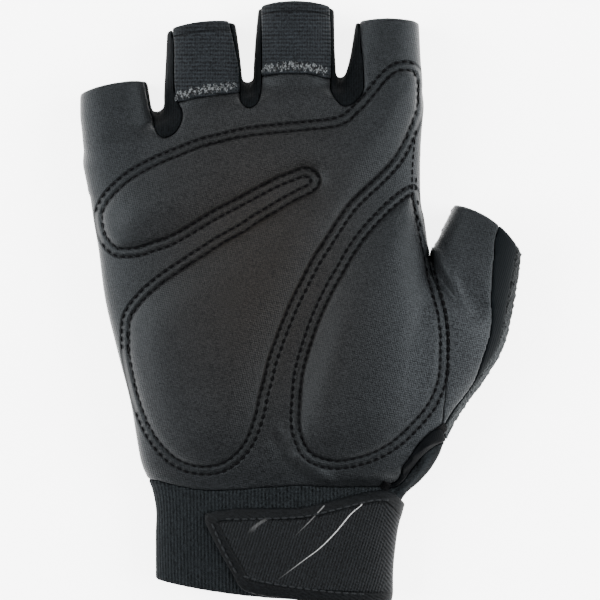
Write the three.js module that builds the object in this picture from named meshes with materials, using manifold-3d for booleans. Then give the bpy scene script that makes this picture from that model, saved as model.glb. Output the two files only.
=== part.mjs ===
import * as THREE from 'three';
import { mergeVertices } from 'three/addons/utils/BufferGeometryUtils.js';
import Module from 'manifold-3d';

// Right-hand fingerless cycling glove, lying on its back with the palm up.
// Millimetres. +X points to the thumb, +Y to the fingertips and +Z out of the palm.
// The origin is on the rest face, under the middle of the palm.

// Hand
const PALM_LENGTH = 119;
const PALM_BREADTH = 100;
const PALM_THICKNESS = 26;
const WRIST_SHARE = 0.46;
const WEB_SLANT = 7;
const WEB_SETBACK = 1.2;
const REST_FLATTEN = 0.12;

// Stalls of the four fingers
const LITTLE_WIDTH = 20.8;
const LITTLE_LENGTH = 12.8;
const RING_WIDTH = 21.8;
const RING_LENGTH = 22.5;
const MIDDLE_WIDTH = 23.3;
const MIDDLE_LENGTH = 21.4;
const INDEX_WIDTH = 21.8;
const INDEX_LENGTH = 19.5;
const FINGER_THICKNESS = 18;
const FINGER_ROOTING = 16;
const FINGER_END_ARCH = 1.2;

// Thumb
const THUMB_LENGTH = 62;
const THUMB_WIDTH = 24.7;
const THUMB_THICKNESS = 18;
const THUMB_ANGLE = 26.5;

// Cuff, strap and binding
const CUFF_OFFSET = 7.5;
const CUFF_LENGTH = 32.5;
const CUFF_BREADTH = 69.5;
const CUFF_THICKNESS = 20;
const SLIT_WIDTH = 1.2;
const STRAP_LENGTH = 56;
const STRAP_WIDTH = 30;
const STRAP_THICKNESS = 2.2;
const STRAP_LOW = 3.5;
const BINDING_WIDTH = 3.3;
const BINDING_RAISE = 0.9;

// Fabric
const WALL = 1.6;
const SEAM_GAP = 0.3;
const SEAT_GAP = 0.3;
const BACK_SEAM_HEIGHT = 7;
const SIDE_SEAM_HEIGHT = 12;
const THUMB_SEAM_HEIGHT = 10.5;
const TAB_RAISE = 0.4;
const PAD_EDGE = 0.9;
const PAD_HEIGHT = 2.6;
const PAD_SHOULDER = 6;

// Fineness of the meshes: steps over the upper half of a section, angles of its lower half
const OUTER_FINENESS = { hand: 16, finger: 11, thumb: 13 };
const INNER_FINENESS = { hand: 10, finger: 7, thumb: 9 };
const OUTER_UNDER = {
  hand: [12, 24, 37, 50, 68, 90, 112, 130, 143, 156, 168],
  stall: [12, 24, 37, 50, 130, 143, 156, 168],
};
const INNER_UNDER = { hand: [25, 50, 68, 90, 112, 130, 155], stall: [25, 50, 130, 155] };
const PAD_CELL = 5;

// Steps along the smoothed seams and outlines
const STEPS = {
  wrist: 3, web: 2, webSide: 6, slit: 10, tab: 10, thumb: 26, strap: 48, palmPad: 60, thumbPad: 32,
};

// How far cutting shapes run past what they cut, in shares of a stall and in millimetres
const PAST_END = 1.5;
const PAST_SIDE = 1.3;
const OVERRUN = 8;
const SKY = 70;

const wasm = await Module();
wasm.setup();

const wristY = -WRIST_SHARE * PALM_LENGTH;
const cuffX = -CUFF_OFFSET;

// Sections of the hand, from the wrist seam to the row before the finger roots.
// along is a share of the palm's length, left and right of its breadth, top of its thickness.
const PALM_ROWS = [
  { along: 0.01, left: -0.440, right: 0.325, top: 0.80, power: 2.6 },
  { along: 0.06, left: -0.468, right: 0.378, top: 0.86, power: 2.7 },
  { along: 0.12, left: -0.480, right: 0.402, top: 0.92, power: 2.8 },
  { along: 0.21, left: -0.496, right: 0.410, top: 0.98, power: 2.9 },
  { along: 0.33, left: -0.532, right: 0.400, top: 1.00, power: 3.0 },
  { along: 0.46, left: -0.568, right: 0.388, top: 1.00, power: 3.0 },
  { along: 0.58, left: -0.590, right: 0.378, top: 0.98, power: 3.0 },
  { along: 0.66, left: -0.604, right: 0.362, top: 0.95, power: 3.0 },
  { along: 0.73, left: -0.620, right: 0.352, top: 0.91, power: 3.0 },
];

// The finger roots: the hand's far end, curved across and leaning back towards the palm side.
const ROOT_ROW = {
  left: -0.648, leftAlong: 0.83, right: 0.357, rightAlong: 0.965, arch: 0.098, top: 0.73, power: 2.8,
};

// Sections of the cuff, from its mouth to the wrist. along is a share of the cuff's length below
// the wrist, left and right are shares of its breadth from its middle, and tilt drops the right side.
const CUFF_ROWS = [
  { along: 1.00, left: -0.500, right: 0.490, top: 0.92, tilt: 0.17 },
  { along: 0.66, left: -0.500, right: 0.498, top: 0.96, tilt: 0.08 },
  { along: 0.28, left: -0.500, right: 0.515, top: 1.00, tilt: 0 },
];
const CUFF_POWER = 2.5;

// The four stalls. root is where the stall leaves the hand, as a share of the palm's length,
// centre is a share of its breadth; taper, lean and skew are shares of the stall's width.
const LITTLE = { root: 0.885, centre: -0.541, taper: 0.92, lean: -0.04, skew: 0.15 };
const RING = { root: 0.950, centre: -0.280, taper: 0.88, lean: -0.06, skew: 0.09 };
const MIDDLE = { root: 1.000, centre: -0.015, taper: 0.92, lean: 0.01, skew: 0.01 };
const INDEX = { root: 0.985, centre: 0.246, taper: 0.79, lean: 0.06, skew: 0 };
const FINGERS = [
  { ...LITTLE, width: LITTLE_WIDTH, length: LITTLE_LENGTH },
  { ...RING, width: RING_WIDTH, length: RING_LENGTH },
  { ...MIDDLE, width: MIDDLE_WIDTH, length: MIDDLE_LENGTH },
  { ...INDEX, width: INDEX_WIDTH, length: INDEX_LENGTH },
];

// Sections of every stall. along runs from -1 inside the hand through 0 at the root to 1 at the end.
const FINGER_ROWS = [
  { along: -1.0, wide: 0.84, low: 0.05, top: 1.08, tip: 0 },
  { along: 0.0, wide: 1.00, low: 0.00, top: 1.02, tip: 0 },
  { along: 0.5, wide: 1.00, low: 0.00, top: 0.97, tip: 0.35 },
  { along: 1.0, wide: 1.00, low: 0.00, top: 0.94, tip: 1 },
];
const FINGER_POWER = 2.35;

// Sections of the thumb, from inside the hand to its open end. along is a share of its length,
// side and wide are shares of its width, turn is in degrees, low and top are shares of its thickness.
const THUMB_ROWS = [
  { along: 0.00, side: 0.00, turn: 8.6, wide: 1.23, low: 0.04, top: 1.18 },
  { along: 0.14, side: 0.02, turn: 16.0, wide: 1.36, low: 0.03, top: 1.30 },
  { along: 0.32, side: 0.06, turn: 18.0, wide: 1.44, low: 0.02, top: 1.38 },
  { along: 0.50, side: 0.10, turn: 17.2, wide: 1.40, low: 0.02, top: 1.38 },
  { along: 0.65, side: 0.13, turn: 16.0, wide: 1.28, low: 0.04, top: 1.33 },
  { along: 0.79, side: 0.09, turn: 9.0, wide: 1.10, low: 0.08, top: 1.25 },
  { along: 0.90, side: 0.05, turn: 5.0, wide: 1.00, low: 0.12, top: 1.18 },
  { along: 1.00, side: 0.00, turn: 8.7, wide: 0.935, low: 0.14, top: 1.14 },
];
const THUMB_POWER = 2.35;
const THUMB_BASE = { x: 0.2745, along: 0.175 };

// Folds and hollows of the palm side, each along a line from one point to the other.
// The points are shares of the palm's breadth and length, wide of its breadth, lift of its thickness.
const FOLDS = [
  { x0: -0.04, y0: 0.11, x1: 0.06, y1: 0.02, wide: 0.022, lift: 0.035 },
  { x0: 0.06, y0: -0.01, x1: 0.27, y1: -0.01, wide: 0.030, lift: -0.045 },
  { x0: 0.00, y0: 0.20, x1: 0.12, y1: 0.55, wide: 0.050, lift: -0.040 },
  { x0: 0.385, y0: 0.56, x1: 0.45, y1: 0.47, wide: 0.020, lift: -0.060 },
  { x0: 0.41, y0: 0.57, x1: 0.47, y1: 0.48, wide: 0.020, lift: 0.040 },
  { x0: 0.33, y0: 0.04, x1: 0.40, y1: 0.02, wide: 0.018, lift: -0.050 },
  { x0: 0.35, y0: 0.09, x1: 0.44, y1: 0.06, wide: 0.018, lift: 0.035 },
];

// Stitched outlines of the two padded areas, as shares of the palm's breadth and length.
const PALM_PAD = [
  [0.325, 1.025], [0.300, 1.040], [0.270, 1.030], [0.183, 0.948], [0.133, 0.909], [0.059, 0.894],
  [-0.059, 0.884], [-0.177, 0.872], [-0.295, 0.847], [-0.413, 0.807], [-0.516, 0.758], [-0.575, 0.703],
  [-0.590, 0.660], [-0.566, 0.596], [-0.510, 0.577], [-0.428, 0.591], [-0.339, 0.624], [-0.251, 0.668],
  [-0.162, 0.708], [-0.074, 0.748], [0.009, 0.775], [0.040, 0.757], [0.000, 0.725], [-0.089, 0.681],
  [-0.177, 0.634], [-0.295, 0.574], [-0.413, 0.507], [-0.490, 0.440], [-0.508, 0.373], [-0.490, 0.262],
  [-0.455, 0.163], [-0.400, 0.088], [-0.325, 0.046], [-0.236, 0.046], [-0.162, 0.091], [-0.127, 0.153],
  [-0.106, 0.225], [-0.080, 0.311], [-0.038, 0.406], [0.021, 0.512], [0.083, 0.601], [0.153, 0.691],
  [0.236, 0.758], [0.300, 0.832], [0.325, 0.900], [0.330, 0.960],
];
const THUMB_PAD = [
  [0.328, 0.733], [0.295, 0.715], [0.227, 0.663], [0.165, 0.601], [0.118, 0.534], [0.074, 0.468],
  [0.035, 0.393], [0.009, 0.324], [-0.009, 0.249], [-0.015, 0.175], [-0.003, 0.113], [0.032, 0.071],
  [0.089, 0.055], [0.162, 0.060], [0.251, 0.088], [0.320, 0.138], [0.376, 0.200], [0.404, 0.274],
  [0.410, 0.373], [0.395, 0.460], [0.375, 0.522], [0.356, 0.609], [0.340, 0.671],
];

// Seams as shares of the palm's breadth and length.
const WRIST_SEAM = [[-0.60, 0.020], [-0.440, 0.014], [-0.325, -0.006], [-0.118, -0.004], [0.118, -0.004]];
const BINDING_LINE = [
  [0.251, 0.002], [0.292, 0.022], [0.317, 0.064], [0.342, 0.096], [0.369, 0.123], [0.395, 0.140],
];
const THUMB_FOOT = [[0.395, 0.140], [0.500, 0.142], [0.600, 0.142]];
const THUMB_SEAM = [
  [0.395, 0.140], [0.418, 0.212], [0.430, 0.282], [0.432, 0.349], [0.424, 0.423],
  [0.404, 0.490], [0.389, 0.545], [0.389, 0.594], [0.389, 0.680],
];

// The entry slit below the binding: across is a share of the cuff's breadth, along of its length.
const SLIT_LINE = [
  { across: 0.515, along: 0.10 },
  { across: 0.495, along: 0.30 },
  { across: 0.450, along: 0.62 },
  { across: 0.420, along: 1.10 },
];

// The seam between the thumb's panel and its side strip: across is a share of half the thumb's width.
const THUMB_SIDE_SEAM = [
  { along: 0.02, across: 0.86 },
  { along: 0.14, across: 0.85 },
  { along: 0.32, across: 0.80 },
  { along: 0.50, across: 0.70 },
  { along: 0.65, across: 0.52 },
  { along: 0.79, across: 0.38 },
  { along: 1.00, across: 0.27 },
  { along: 1.15, across: 0.25 },
];

// The webs between neighbouring stalls. strip and swell are how far the stretch fabric reaches over
// the right-hand stall, at its end and at its root, as shares of half that stall's width.
const WEBS = [
  { name: 'little_ring_fourchette', left: 0, right: 1, strip: 0.24, swell: 0.44 },
  { name: 'ring_middle_fourchette', left: 1, right: 2, strip: 0.17, swell: 0.20 },
  { name: 'middle_index_fourchette', left: 2, right: 3, strip: 0.22, swell: 0.44 },
];

// The lower edges of the pull tabs, as shares of the stall's length and half its width.
const TAB_EDGES = [
  { name: 'ring_pull_tab', web: 0, middle: 0.07, to: 0.13 },
  { name: 'middle_pull_tab', web: 1, middle: 0.11, to: 0.05 },
];

// The strap's outline from its fixed end round its tip and back. along is a share of its length
// from the cuff's thumb side, down is a share of its width below the wrist.
const STRAP_OUTLINE = [
  { along: -0.30, down: -0.06 },
  { along: -0.04, down: -0.02 },
  { along: 0.14, down: 0.08 },
  { along: 0.35, down: 0.23 },
  { along: 0.60, down: 0.27 },
  { along: 0.86, down: 0.28 },
  { along: 0.95, down: 0.31 },
  { along: 0.985, down: 0.37 },
  { along: 0.96, down: 0.48 },
  { along: 0.86, down: 0.82 },
  { along: 0.80, down: 0.97 },
  { along: 0.70, down: 1.06 },
  { along: 0.56, down: 1.10 },
  { along: 0.10, down: 1.13 },
  { along: -0.30, down: 1.13 },
];

const mix = (a, b, t) => a + (b - a) * t;
const palmPoint = ([x, y]) => new THREE.Vector2(x * PALM_BREADTH, wristY + y * PALM_LENGTH);
const smooth = (points, steps) => new THREE.SplineCurve(points).getPoints(steps);

function smoothClosed(points, steps) {
  const raised = points.map((p) => new THREE.Vector3(p.x, p.y, 0));
  const curve = new THREE.CatmullRomCurve3(raised, true, 'centripetal');
  return curve.getPoints(steps).slice(0, -1).map((p) => new THREE.Vector2(p.x, p.y));
}

// Rows between the rows of a table, every column on a Catmull-Rom spline.
function fillRows(rows, steps) {
  const keys = Object.keys(rows[0]);
  const filled = [];
  for (let i = 0; i < rows.length - 1; i += 1) {
    const around = [rows[Math.max(i - 1, 0)], rows[i], rows[i + 1], rows[Math.min(i + 2, rows.length - 1)]];
    for (let k = 0; k < steps; k += 1) {
      const t = k / steps;
      const row = {};
      for (const key of keys) {
        const [a, b, c, d] = around.map((r) => r[key]);
        row[key] = b + 0.5 * t * (c - a + t * (2 * a - 5 * b + 4 * c - d + t * (3 * (b - c) + d - a)));
      }
      filled.push(row);
    }
  }
  filled.push({ ...rows[rows.length - 1] });
  return filled;
}

// How far the folds and hollows lift the palm side at a point.
function relief(x, y) {
  let lift = 0;
  for (const fold of FOLDS) {
    const from = palmPoint([fold.x0, fold.y0]);
    const to = palmPoint([fold.x1, fold.y1]);
    const line = to.clone().sub(from);
    const spot = new THREE.Vector2(x, y).sub(from);
    const t = THREE.MathUtils.clamp(spot.dot(line) / line.lengthSq(), 0, 1);
    const away = spot.sub(line.multiplyScalar(t)).length() / (fold.wide * PALM_BREADTH);
    lift += fold.lift * PALM_THICKNESS * Math.exp(-away * away);
  }
  return lift;
}

function toManifold(geometry) {
  const bare = geometry.index ? geometry.clone() : geometry;
  bare.deleteAttribute('normal');
  bare.deleteAttribute('uv');
  const merged = mergeVertices(bare, 1e-5);
  return new wasm.Manifold(new wasm.Mesh({
    numProp: 3,
    vertProperties: new Float32Array(merged.attributes.position.array),
    triVerts: new Uint32Array(merged.index.array),
  }));
}

// A closed tube through sections. Each section has a left and a right end on the floor plan,
// a low and a top height, a superellipse power, an arch forward and a slant back towards its top.
// over is how many steps go round its upper half, under the angles of the points of its lower half.
function tube(sections, over, under) {
  const angles = [];
  for (let i = 0; i <= over; i += 1) angles.push(180 * i / over);
  angles.push(...under.map((angle) => 180 + angle));
  const round = angles.map((angle) => THREE.MathUtils.degToRad(angle));
  const power = (value, exponent) => Math.sign(value) * Math.abs(value) ** exponent;
  const sides = round.length;
  const positions = [];
  const faces = [];
  for (const s of sections) {
    const half = s.left.distanceTo(s.right) / 2;
    const across = s.right.clone().sub(s.left).normalize();
    const forward = new THREE.Vector2(-across.y, across.x);
    const middle = s.left.clone().add(s.right).multiplyScalar(0.5);
    const rise = (s.top - s.low) * (1 + REST_FLATTEN) / 2;
    for (const angle of round) {
      const u = power(Math.cos(angle), 2 / s.power);
      const v = power(Math.sin(angle), 2 / s.power);
      const height = Math.max(s.top - rise + rise * v, s.low);
      const ahead = (s.arch || 0) * (1 - u * u) - (s.slant || 0) * (height - s.low) / (s.top - s.low);
      const x = middle.x + across.x * u * half + forward.x * ahead;
      const y = middle.y + across.y * u * half + forward.y * ahead;
      positions.push(x, y, height + relief(x, y) * Math.max(v, 0));
    }
  }
  const last = (sections.length - 1) * sides;
  for (let i = 0; i < sides; i += 1) {
    const next = (i + 1) % sides;
    for (let ring = 0; ring < last; ring += sides) {
      faces.push(ring + i, ring + sides + next, ring + next, ring + i, ring + sides + i, ring + sides + next);
    }
  }
  // The two end faces are strips between the upper and the lower half.
  let top = 0;
  let bottom = sides;
  while (top < over || bottom > over) {
    const nextTop = Math.cos(round[Math.min(top + 1, over)]);
    const nextBottom = Math.cos(round[Math.max(bottom - 1, over)]);
    const topGoes = top < over && (bottom === over || nextTop > nextBottom);
    const a = top;
    const b = topGoes ? top + 1 : bottom - 1;
    const c = bottom % sides;
    if (a !== b && a !== c && b !== c) faces.push(a, b, c, last + a, last + c, last + b);
    if (topGoes) top += 1;
    else bottom -= 1;
  }
  const geometry = new THREE.BufferGeometry();
  geometry.setAttribute('position', new THREE.Float32BufferAttribute(positions, 3));
  geometry.setIndex(faces);
  return toManifold(geometry);
}

// A section moved outwards by grow on every side, or inwards where grow is negative.
function grown(section, grow) {
  const across = section.right.clone().sub(section.left).normalize().multiplyScalar(grow);
  return {
    ...section,
    left: section.left.clone().sub(across),
    right: section.right.clone().add(across),
    low: Math.max(section.low - grow, grow > 0 ? 0 : section.low - grow),
    top: section.top + grow,
  };
}

// A copy of a section, moved forward along the tube.
function moved(section, distance) {
  const across = section.right.clone().sub(section.left).normalize();
  const step = new THREE.Vector2(-across.y, across.x).multiplyScalar(distance);
  return { ...section, left: section.left.clone().add(step), right: section.right.clone().add(step) };
}

function handSections(steps) {
  const cuff = CUFF_ROWS.map((row) => ({
    leftX: cuffX + row.left * CUFF_BREADTH,
    leftY: wristY - (row.along - row.tilt) * CUFF_LENGTH,
    rightX: cuffX + row.right * CUFF_BREADTH,
    rightY: wristY - row.along * CUFF_LENGTH,
    top: row.top * CUFF_THICKNESS,
    power: CUFF_POWER,
  }));
  const palm = PALM_ROWS.map((row) => ({
    leftX: row.left * PALM_BREADTH,
    leftY: wristY + row.along * PALM_LENGTH,
    rightX: row.right * PALM_BREADTH,
    rightY: wristY + row.along * PALM_LENGTH,
    top: row.top * PALM_THICKNESS,
    power: row.power,
  }));
  const sections = fillRows([...cuff, ...palm], steps).map((row) => ({
    left: new THREE.Vector2(row.leftX, row.leftY),
    right: new THREE.Vector2(row.rightX, row.rightY),
    low: 0,
    top: row.top,
    power: row.power,
  }));
  sections.push({
    left: palmPoint([ROOT_ROW.left, ROOT_ROW.leftAlong]),
    right: palmPoint([ROOT_ROW.right, ROOT_ROW.rightAlong]),
    low: 0,
    top: ROOT_ROW.top * PALM_THICKNESS,
    power: ROOT_ROW.power,
    arch: ROOT_ROW.arch * PALM_LENGTH,
    slant: WEB_SLANT,
  });
  return sections;
}

function fingerSections(finger) {
  const rootY = wristY + finger.root * PALM_LENGTH;
  return FINGER_ROWS.map((row) => {
    const reach = row.along < 0 ? row.along * FINGER_ROOTING : row.along * finger.length;
    const half = finger.width / 2 * row.wide * mix(1, finger.taper, row.tip);
    const centre = finger.centre * PALM_BREADTH + finger.lean * finger.width * row.tip;
    const skew = finger.skew * finger.width / 2 * row.tip;
    return {
      left: new THREE.Vector2(centre - half, rootY + reach - skew),
      right: new THREE.Vector2(centre + half, rootY + reach + skew),
      low: row.low * FINGER_THICKNESS,
      top: row.top * FINGER_THICKNESS,
      power: FINGER_POWER,
      arch: FINGER_END_ARCH * row.tip,
    };
  });
}

function thumbSection(row) {
  const axis = THREE.MathUtils.degToRad(THUMB_ANGLE);
  const ahead = new THREE.Vector2(Math.sin(axis), Math.cos(axis)).multiplyScalar(row.along * THUMB_LENGTH);
  const aside = new THREE.Vector2(Math.cos(axis), -Math.sin(axis)).multiplyScalar(row.side * THUMB_WIDTH);
  const middle = palmPoint([THUMB_BASE.x, THUMB_BASE.along]).add(ahead).add(aside);
  const turned = axis + THREE.MathUtils.degToRad(row.turn);
  const halfWidth = row.wide * THUMB_WIDTH / 2;
  const half = new THREE.Vector2(Math.cos(turned), -Math.sin(turned)).multiplyScalar(halfWidth);
  return {
    left: middle.clone().sub(half),
    right: middle.clone().add(half),
    low: row.low * THUMB_THICKNESS,
    top: row.top * THUMB_THICKNESS,
    power: THUMB_POWER,
  };
}

// The whole outer form, grown by some distance. An open form runs on past every opening.
// The inside of the glove is the coarser form.
function form(grow, open, inside = false) {
  const grownAll = (sections) => sections.map((section) => grown(section, grow));
  const openEnd = (sections) => {
    const end = sections[sections.length - 1];
    return open ? [...sections, moved(end, OVERRUN)] : sections;
  };
  const over = inside ? INNER_FINENESS : OUTER_FINENESS;
  const under = inside ? INNER_UNDER : OUTER_UNDER;
  const hand = grownAll(handSections(inside ? 1 : 2));
  const wall = hand[hand.length - 1];
  hand[hand.length - 1] = moved(wall, grow);
  if (open) hand.unshift(moved(hand[0], -OVERRUN));
  let whole = tube(hand, over.hand, under.hand);
  for (const finger of FINGERS) {
    whole = whole.add(tube(openEnd(grownAll(fingerSections(finger))), over.finger, under.stall));
  }
  return whole.add(tube(openEnd(grownAll(THUMB_ROWS.map(thumbSection))), over.thumb, under.stall));
}

// An upright prism over an outline on the floor plan.
function prism(outline, low, high) {
  const shape = new THREE.Shape(outline);
  const geometry = new THREE.ExtrudeGeometry(shape, { depth: high - low, bevelEnabled: false, steps: 1 });
  geometry.translate(0, 0, low);
  return toManifold(geometry);
}

// The line moved sideways: to its left where distance is positive.
function beside(line, distance) {
  return line.map((point, i) => {
    const before = line[Math.max(i - 1, 0)];
    const after = line[Math.min(i + 1, line.length - 1)];
    const along = after.clone().sub(before).normalize();
    return new THREE.Vector2(point.x - along.y * distance, point.y + along.x * distance);
  });
}

// The upright slot that a seam leaves between two pieces.
function slot(line, width = SEAM_GAP, low = -1, high = SKY) {
  return prism([...beside(line, width / 2), ...beside(line, -width / 2).reverse()], low, high);
}

// A point on a stall: across is a share of half its width, along a share of its length.
function stallPoint(finger, across, along) {
  const sections = fingerSections(finger);
  const [root, , end] = sections.slice(1);
  const left = root.left.clone().lerp(end.left, along);
  const right = root.right.clone().lerp(end.right, along);
  return left.lerp(right, (across + 1) / 2);
}

function thumbPoint({ along, across }) {
  const rows = THUMB_ROWS;
  const i = Math.min(Math.max(rows.findIndex((row) => row.along >= along), 1), rows.length - 1);
  const share = (along - rows[i - 1].along) / (rows[i].along - rows[i - 1].along);
  const row = {};
  for (const key of Object.keys(rows[i])) row[key] = mix(rows[i - 1][key], rows[i][key], share);
  const section = thumbSection(row);
  return section.left.lerp(section.right, (across + 1) / 2);
}

const cuffPoint = ({ across, along }) => (
  new THREE.Vector2(cuffX + across * CUFF_BREADTH, wristY - along * CUFF_LENGTH)
);
const strapPoint = ({ along, down }) => (
  new THREE.Vector2(cuffX + CUFF_BREADTH / 2 - along * STRAP_LENGTH, wristY - down * STRAP_WIDTH)
);

// Where the back edge of the finger roots runs, at some place across the palm.
function rootLine(x) {
  const left = palmPoint([ROOT_ROW.left, ROOT_ROW.leftAlong]);
  const right = palmPoint([ROOT_ROW.right, ROOT_ROW.rightAlong]);
  const share = (x - left.x) / (right.x - left.x);
  return mix(left.y, right.y, share) + ROOT_ROW.arch * PALM_LENGTH * (1 - (2 * share - 1) ** 2);
}

// The palm-side seam of a web, from the right-hand stall's end down round the web and up again.
function webLine(web) {
  const left = FINGERS[web.left];
  const right = FINGERS[web.right];
  const leftEdge = stallPoint(left, 1, 0);
  const rightEdge = stallPoint(right, -1, 0);
  const crotch = new THREE.Vector2((leftEdge.x + rightEdge.x) / 2, 0);
  crotch.y = rootLine(crotch.x);
  const gap = rightEdge.x - leftEdge.x;
  const depth = WEB_SLANT + WEB_SETBACK;
  const overRight = (along, reach) => stallPoint(right, reach - 1, along);
  const joint = overRight(0.04, mix(web.strip, web.swell, 0.55));
  return {
    crotch,
    depth,
    joint,
    down: [overRight(PAST_END, web.strip * 0.8), overRight(0.5, web.strip), joint],
    round: [
      joint,
      new THREE.Vector2(overRight(0, web.swell).x, crotch.y - 0.3 * depth),
      new THREE.Vector2(overRight(0, 0.7 * web.swell).x, crotch.y - 0.75 * depth),
      new THREE.Vector2(crotch.x + 0.3 * gap, crotch.y - depth),
      new THREE.Vector2(crotch.x - 0.3 * gap, crotch.y - 0.95 * depth),
      new THREE.Vector2(leftEdge.x - 0.1 * gap, crotch.y - 0.5 * depth),
      new THREE.Vector2(leftEdge.x + 0.1 * gap, crotch.y - 0.05 * depth),
      new THREE.Vector2(leftEdge.x + 0.3 * gap, crotch.y + 0.5 * depth),
    ],
    up: [stallPoint(left, 1.1, PAST_END)],
  };
}

const outer = form(0, false);
const inner = form(-WALL, true, true);

// The seam lines
const farLeft = -PALM_BREADTH;
const farRight = PALM_BREADTH;
const farUp = PALM_LENGTH;
const farDown = -PALM_LENGTH;
const wristPoints = [...WRIST_SEAM, ...BINDING_LINE];
const wristLine = smooth(wristPoints.map(palmPoint), (wristPoints.length - 1) * STEPS.wrist);
const bindingOuter = wristLine.slice(WRIST_SEAM.length * STEPS.wrist);
const bindingInner = beside(bindingOuter, BINDING_WIDTH);
const bindingEdge = [bindingOuter[0], ...bindingInner, bindingOuter[bindingOuter.length - 1]];
const slitTop = bindingOuter.slice(STEPS.wrist).reverse();
const slitFoot = [slitTop[slitTop.length - 1], ...SLIT_LINE.map(cuffPoint)];
const slitLine = [...slitTop, ...smooth(slitFoot, STEPS.slit).slice(1)];
const thumbFoot = THUMB_FOOT.map(palmPoint);
const thumbLine = smooth(THUMB_SEAM.map(palmPoint), STEPS.thumb);
const thumbSideLine = smooth(THUMB_SIDE_SEAM.map(thumbPoint), STEPS.thumb);
const webLines = WEBS.map(webLine);
const webSeams = webLines.map((line) => {
  const down = smooth(line.down, STEPS.webSide);
  const round = smooth(line.round, (line.round.length - 1) * STEPS.web);
  return {
    whole: [...down, ...round.slice(1), ...line.up],
    down,
    round: [down[down.length - 2], ...round, ...line.up],
  };
});
const tabLines = TAB_EDGES.map((tab) => {
  const finger = FINGERS[WEBS[tab.web].right];
  const { joint } = webLines[tab.web];
  return smooth([joint, stallPoint(finger, 0, tab.middle), stallPoint(finger, 0.99, tab.to)], STEPS.tab);
});

// The regions that the seams bound, seen from above
const cuffOutline = [
  ...wristLine, ...thumbFoot.slice(1),
  new THREE.Vector2(farRight, farDown), new THREE.Vector2(farLeft, farDown),
];
const thumbSeamEnd = thumbLine[thumbLine.length - 1];
const handOutline = [
  ...wristLine, ...thumbLine.slice(1),
  new THREE.Vector2(thumbSeamEnd.x, farUp), new THREE.Vector2(farLeft, farUp),
];
const thumbOutline = [
  ...thumbFoot.slice().reverse(), ...thumbLine.slice(1), new THREE.Vector2(farRight, thumbSeamEnd.y),
];
const sideOutline = [
  ...thumbSideLine, new THREE.Vector2(farRight, farUp), new THREE.Vector2(farRight, thumbSideLine[0].y),
];
const sideWallOutlines = WEBS.map((web, i) => {
  const left = FINGERS[web.left];
  const { crotch, depth } = webLines[i];
  const inside = stallPoint(left, 0.3, 0).x;
  const beyond = stallPoint(left, 0.3, PAST_END);
  return [
    new THREE.Vector2(inside, crotch.y - depth), new THREE.Vector2(crotch.x, crotch.y - depth),
    new THREE.Vector2(crotch.x, beyond.y), beyond,
  ];
});
const tabOutlines = TAB_EDGES.map((tab, i) => {
  const finger = FINGERS[WEBS[tab.web].right];
  return [
    ...webSeams[tab.web].down.slice().reverse(),
    stallPoint(finger, PAST_SIDE, PAST_END),
    stallPoint(finger, PAST_SIDE, tab.to),
    ...tabLines[i].slice(1).reverse(),
  ];
});

// The slots that the seams leave open
const seams = [
  slot([...wristLine, ...thumbFoot.slice(1)]),
  slot(slitLine, SLIT_WIDTH, BACK_SEAM_HEIGHT),
  slot(bindingEdge, SEAM_GAP, BACK_SEAM_HEIGHT),
  slot(thumbLine),
  slot(thumbSideLine, SEAM_GAP, THUMB_SEAM_HEIGHT),
  prism(handOutline, BACK_SEAM_HEIGHT - SEAM_GAP / 2, BACK_SEAM_HEIGHT + SEAM_GAP / 2),
  prism(thumbOutline, THUMB_SEAM_HEIGHT - SEAM_GAP / 2, THUMB_SEAM_HEIGHT + SEAM_GAP / 2),
  ...webSeams.map((line) => slot(line.down, SEAM_GAP, BACK_SEAM_HEIGHT)),
  ...webSeams.map((line) => slot(line.round, SEAM_GAP, SIDE_SEAM_HEIGHT)),
  ...tabLines.map((line) => slot(line, SEAM_GAP, SIDE_SEAM_HEIGHT)),
  ...sideWallOutlines.map((outline, i) => (
    prism(outline, SIDE_SEAM_HEIGHT - SEAM_GAP / 2, SIDE_SEAM_HEIGHT + SEAM_GAP / 2)
      .subtract(prism(webSeams[i].whole, BACK_SEAM_HEIGHT, SKY))
  )),
];
const open = (solid) => seams.reduce((left, seam) => left.subtract(seam), solid);
const shell = open(outer.subtract(inner));

// The pieces of the shell
const webRegions = WEBS.map((web, i) => {
  const sideWall = prism(sideWallOutlines[i], BACK_SEAM_HEIGHT, SIDE_SEAM_HEIGHT);
  return prism(webSeams[i].whole, BACK_SEAM_HEIGHT, SKY).add(sideWall);
});
const tabRegions = tabOutlines.map((outline) => (
  webRegions.reduce((left, web) => left.subtract(web), prism(outline, BACK_SEAM_HEIGHT, SKY))
));
const bindingRegion = prism([...bindingEdge, ...bindingOuter.slice(1, -1).reverse()], BACK_SEAM_HEIGHT, SKY);
const backPanel = shell.intersect(prism(handOutline, -1, BACK_SEAM_HEIGHT));
const palmPanel = [...webRegions, ...tabRegions, bindingRegion].reduce(
  (left, region) => left.subtract(region),
  shell.intersect(prism(handOutline, BACK_SEAM_HEIGHT, SKY)),
);
const cuff = shell.intersect(prism(cuffOutline, -1, SKY));
const thumbBack = shell.intersect(prism(thumbOutline, -1, THUMB_SEAM_HEIGHT));
const thumbUpper = shell.intersect(prism(thumbOutline, THUMB_SEAM_HEIGHT, SKY));
const thumbSide = thumbUpper.intersect(prism(sideOutline, THUMB_SEAM_HEIGHT, SKY));
const thumbPanel = thumbUpper.subtract(prism(sideOutline, THUMB_SEAM_HEIGHT, SKY));
const webs = webRegions.map((region) => shell.intersect(region));
const tabShell = open(form(TAB_RAISE, false).subtract(inner));
const tabs = tabRegions.map((region) => tabShell.intersect(region));
const binding = open(form(BINDING_RAISE, false).subtract(inner)).intersect(bindingRegion);

// What lies on the shell starts from here
const overPalm = form(SEAT_GAP, true);

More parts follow.
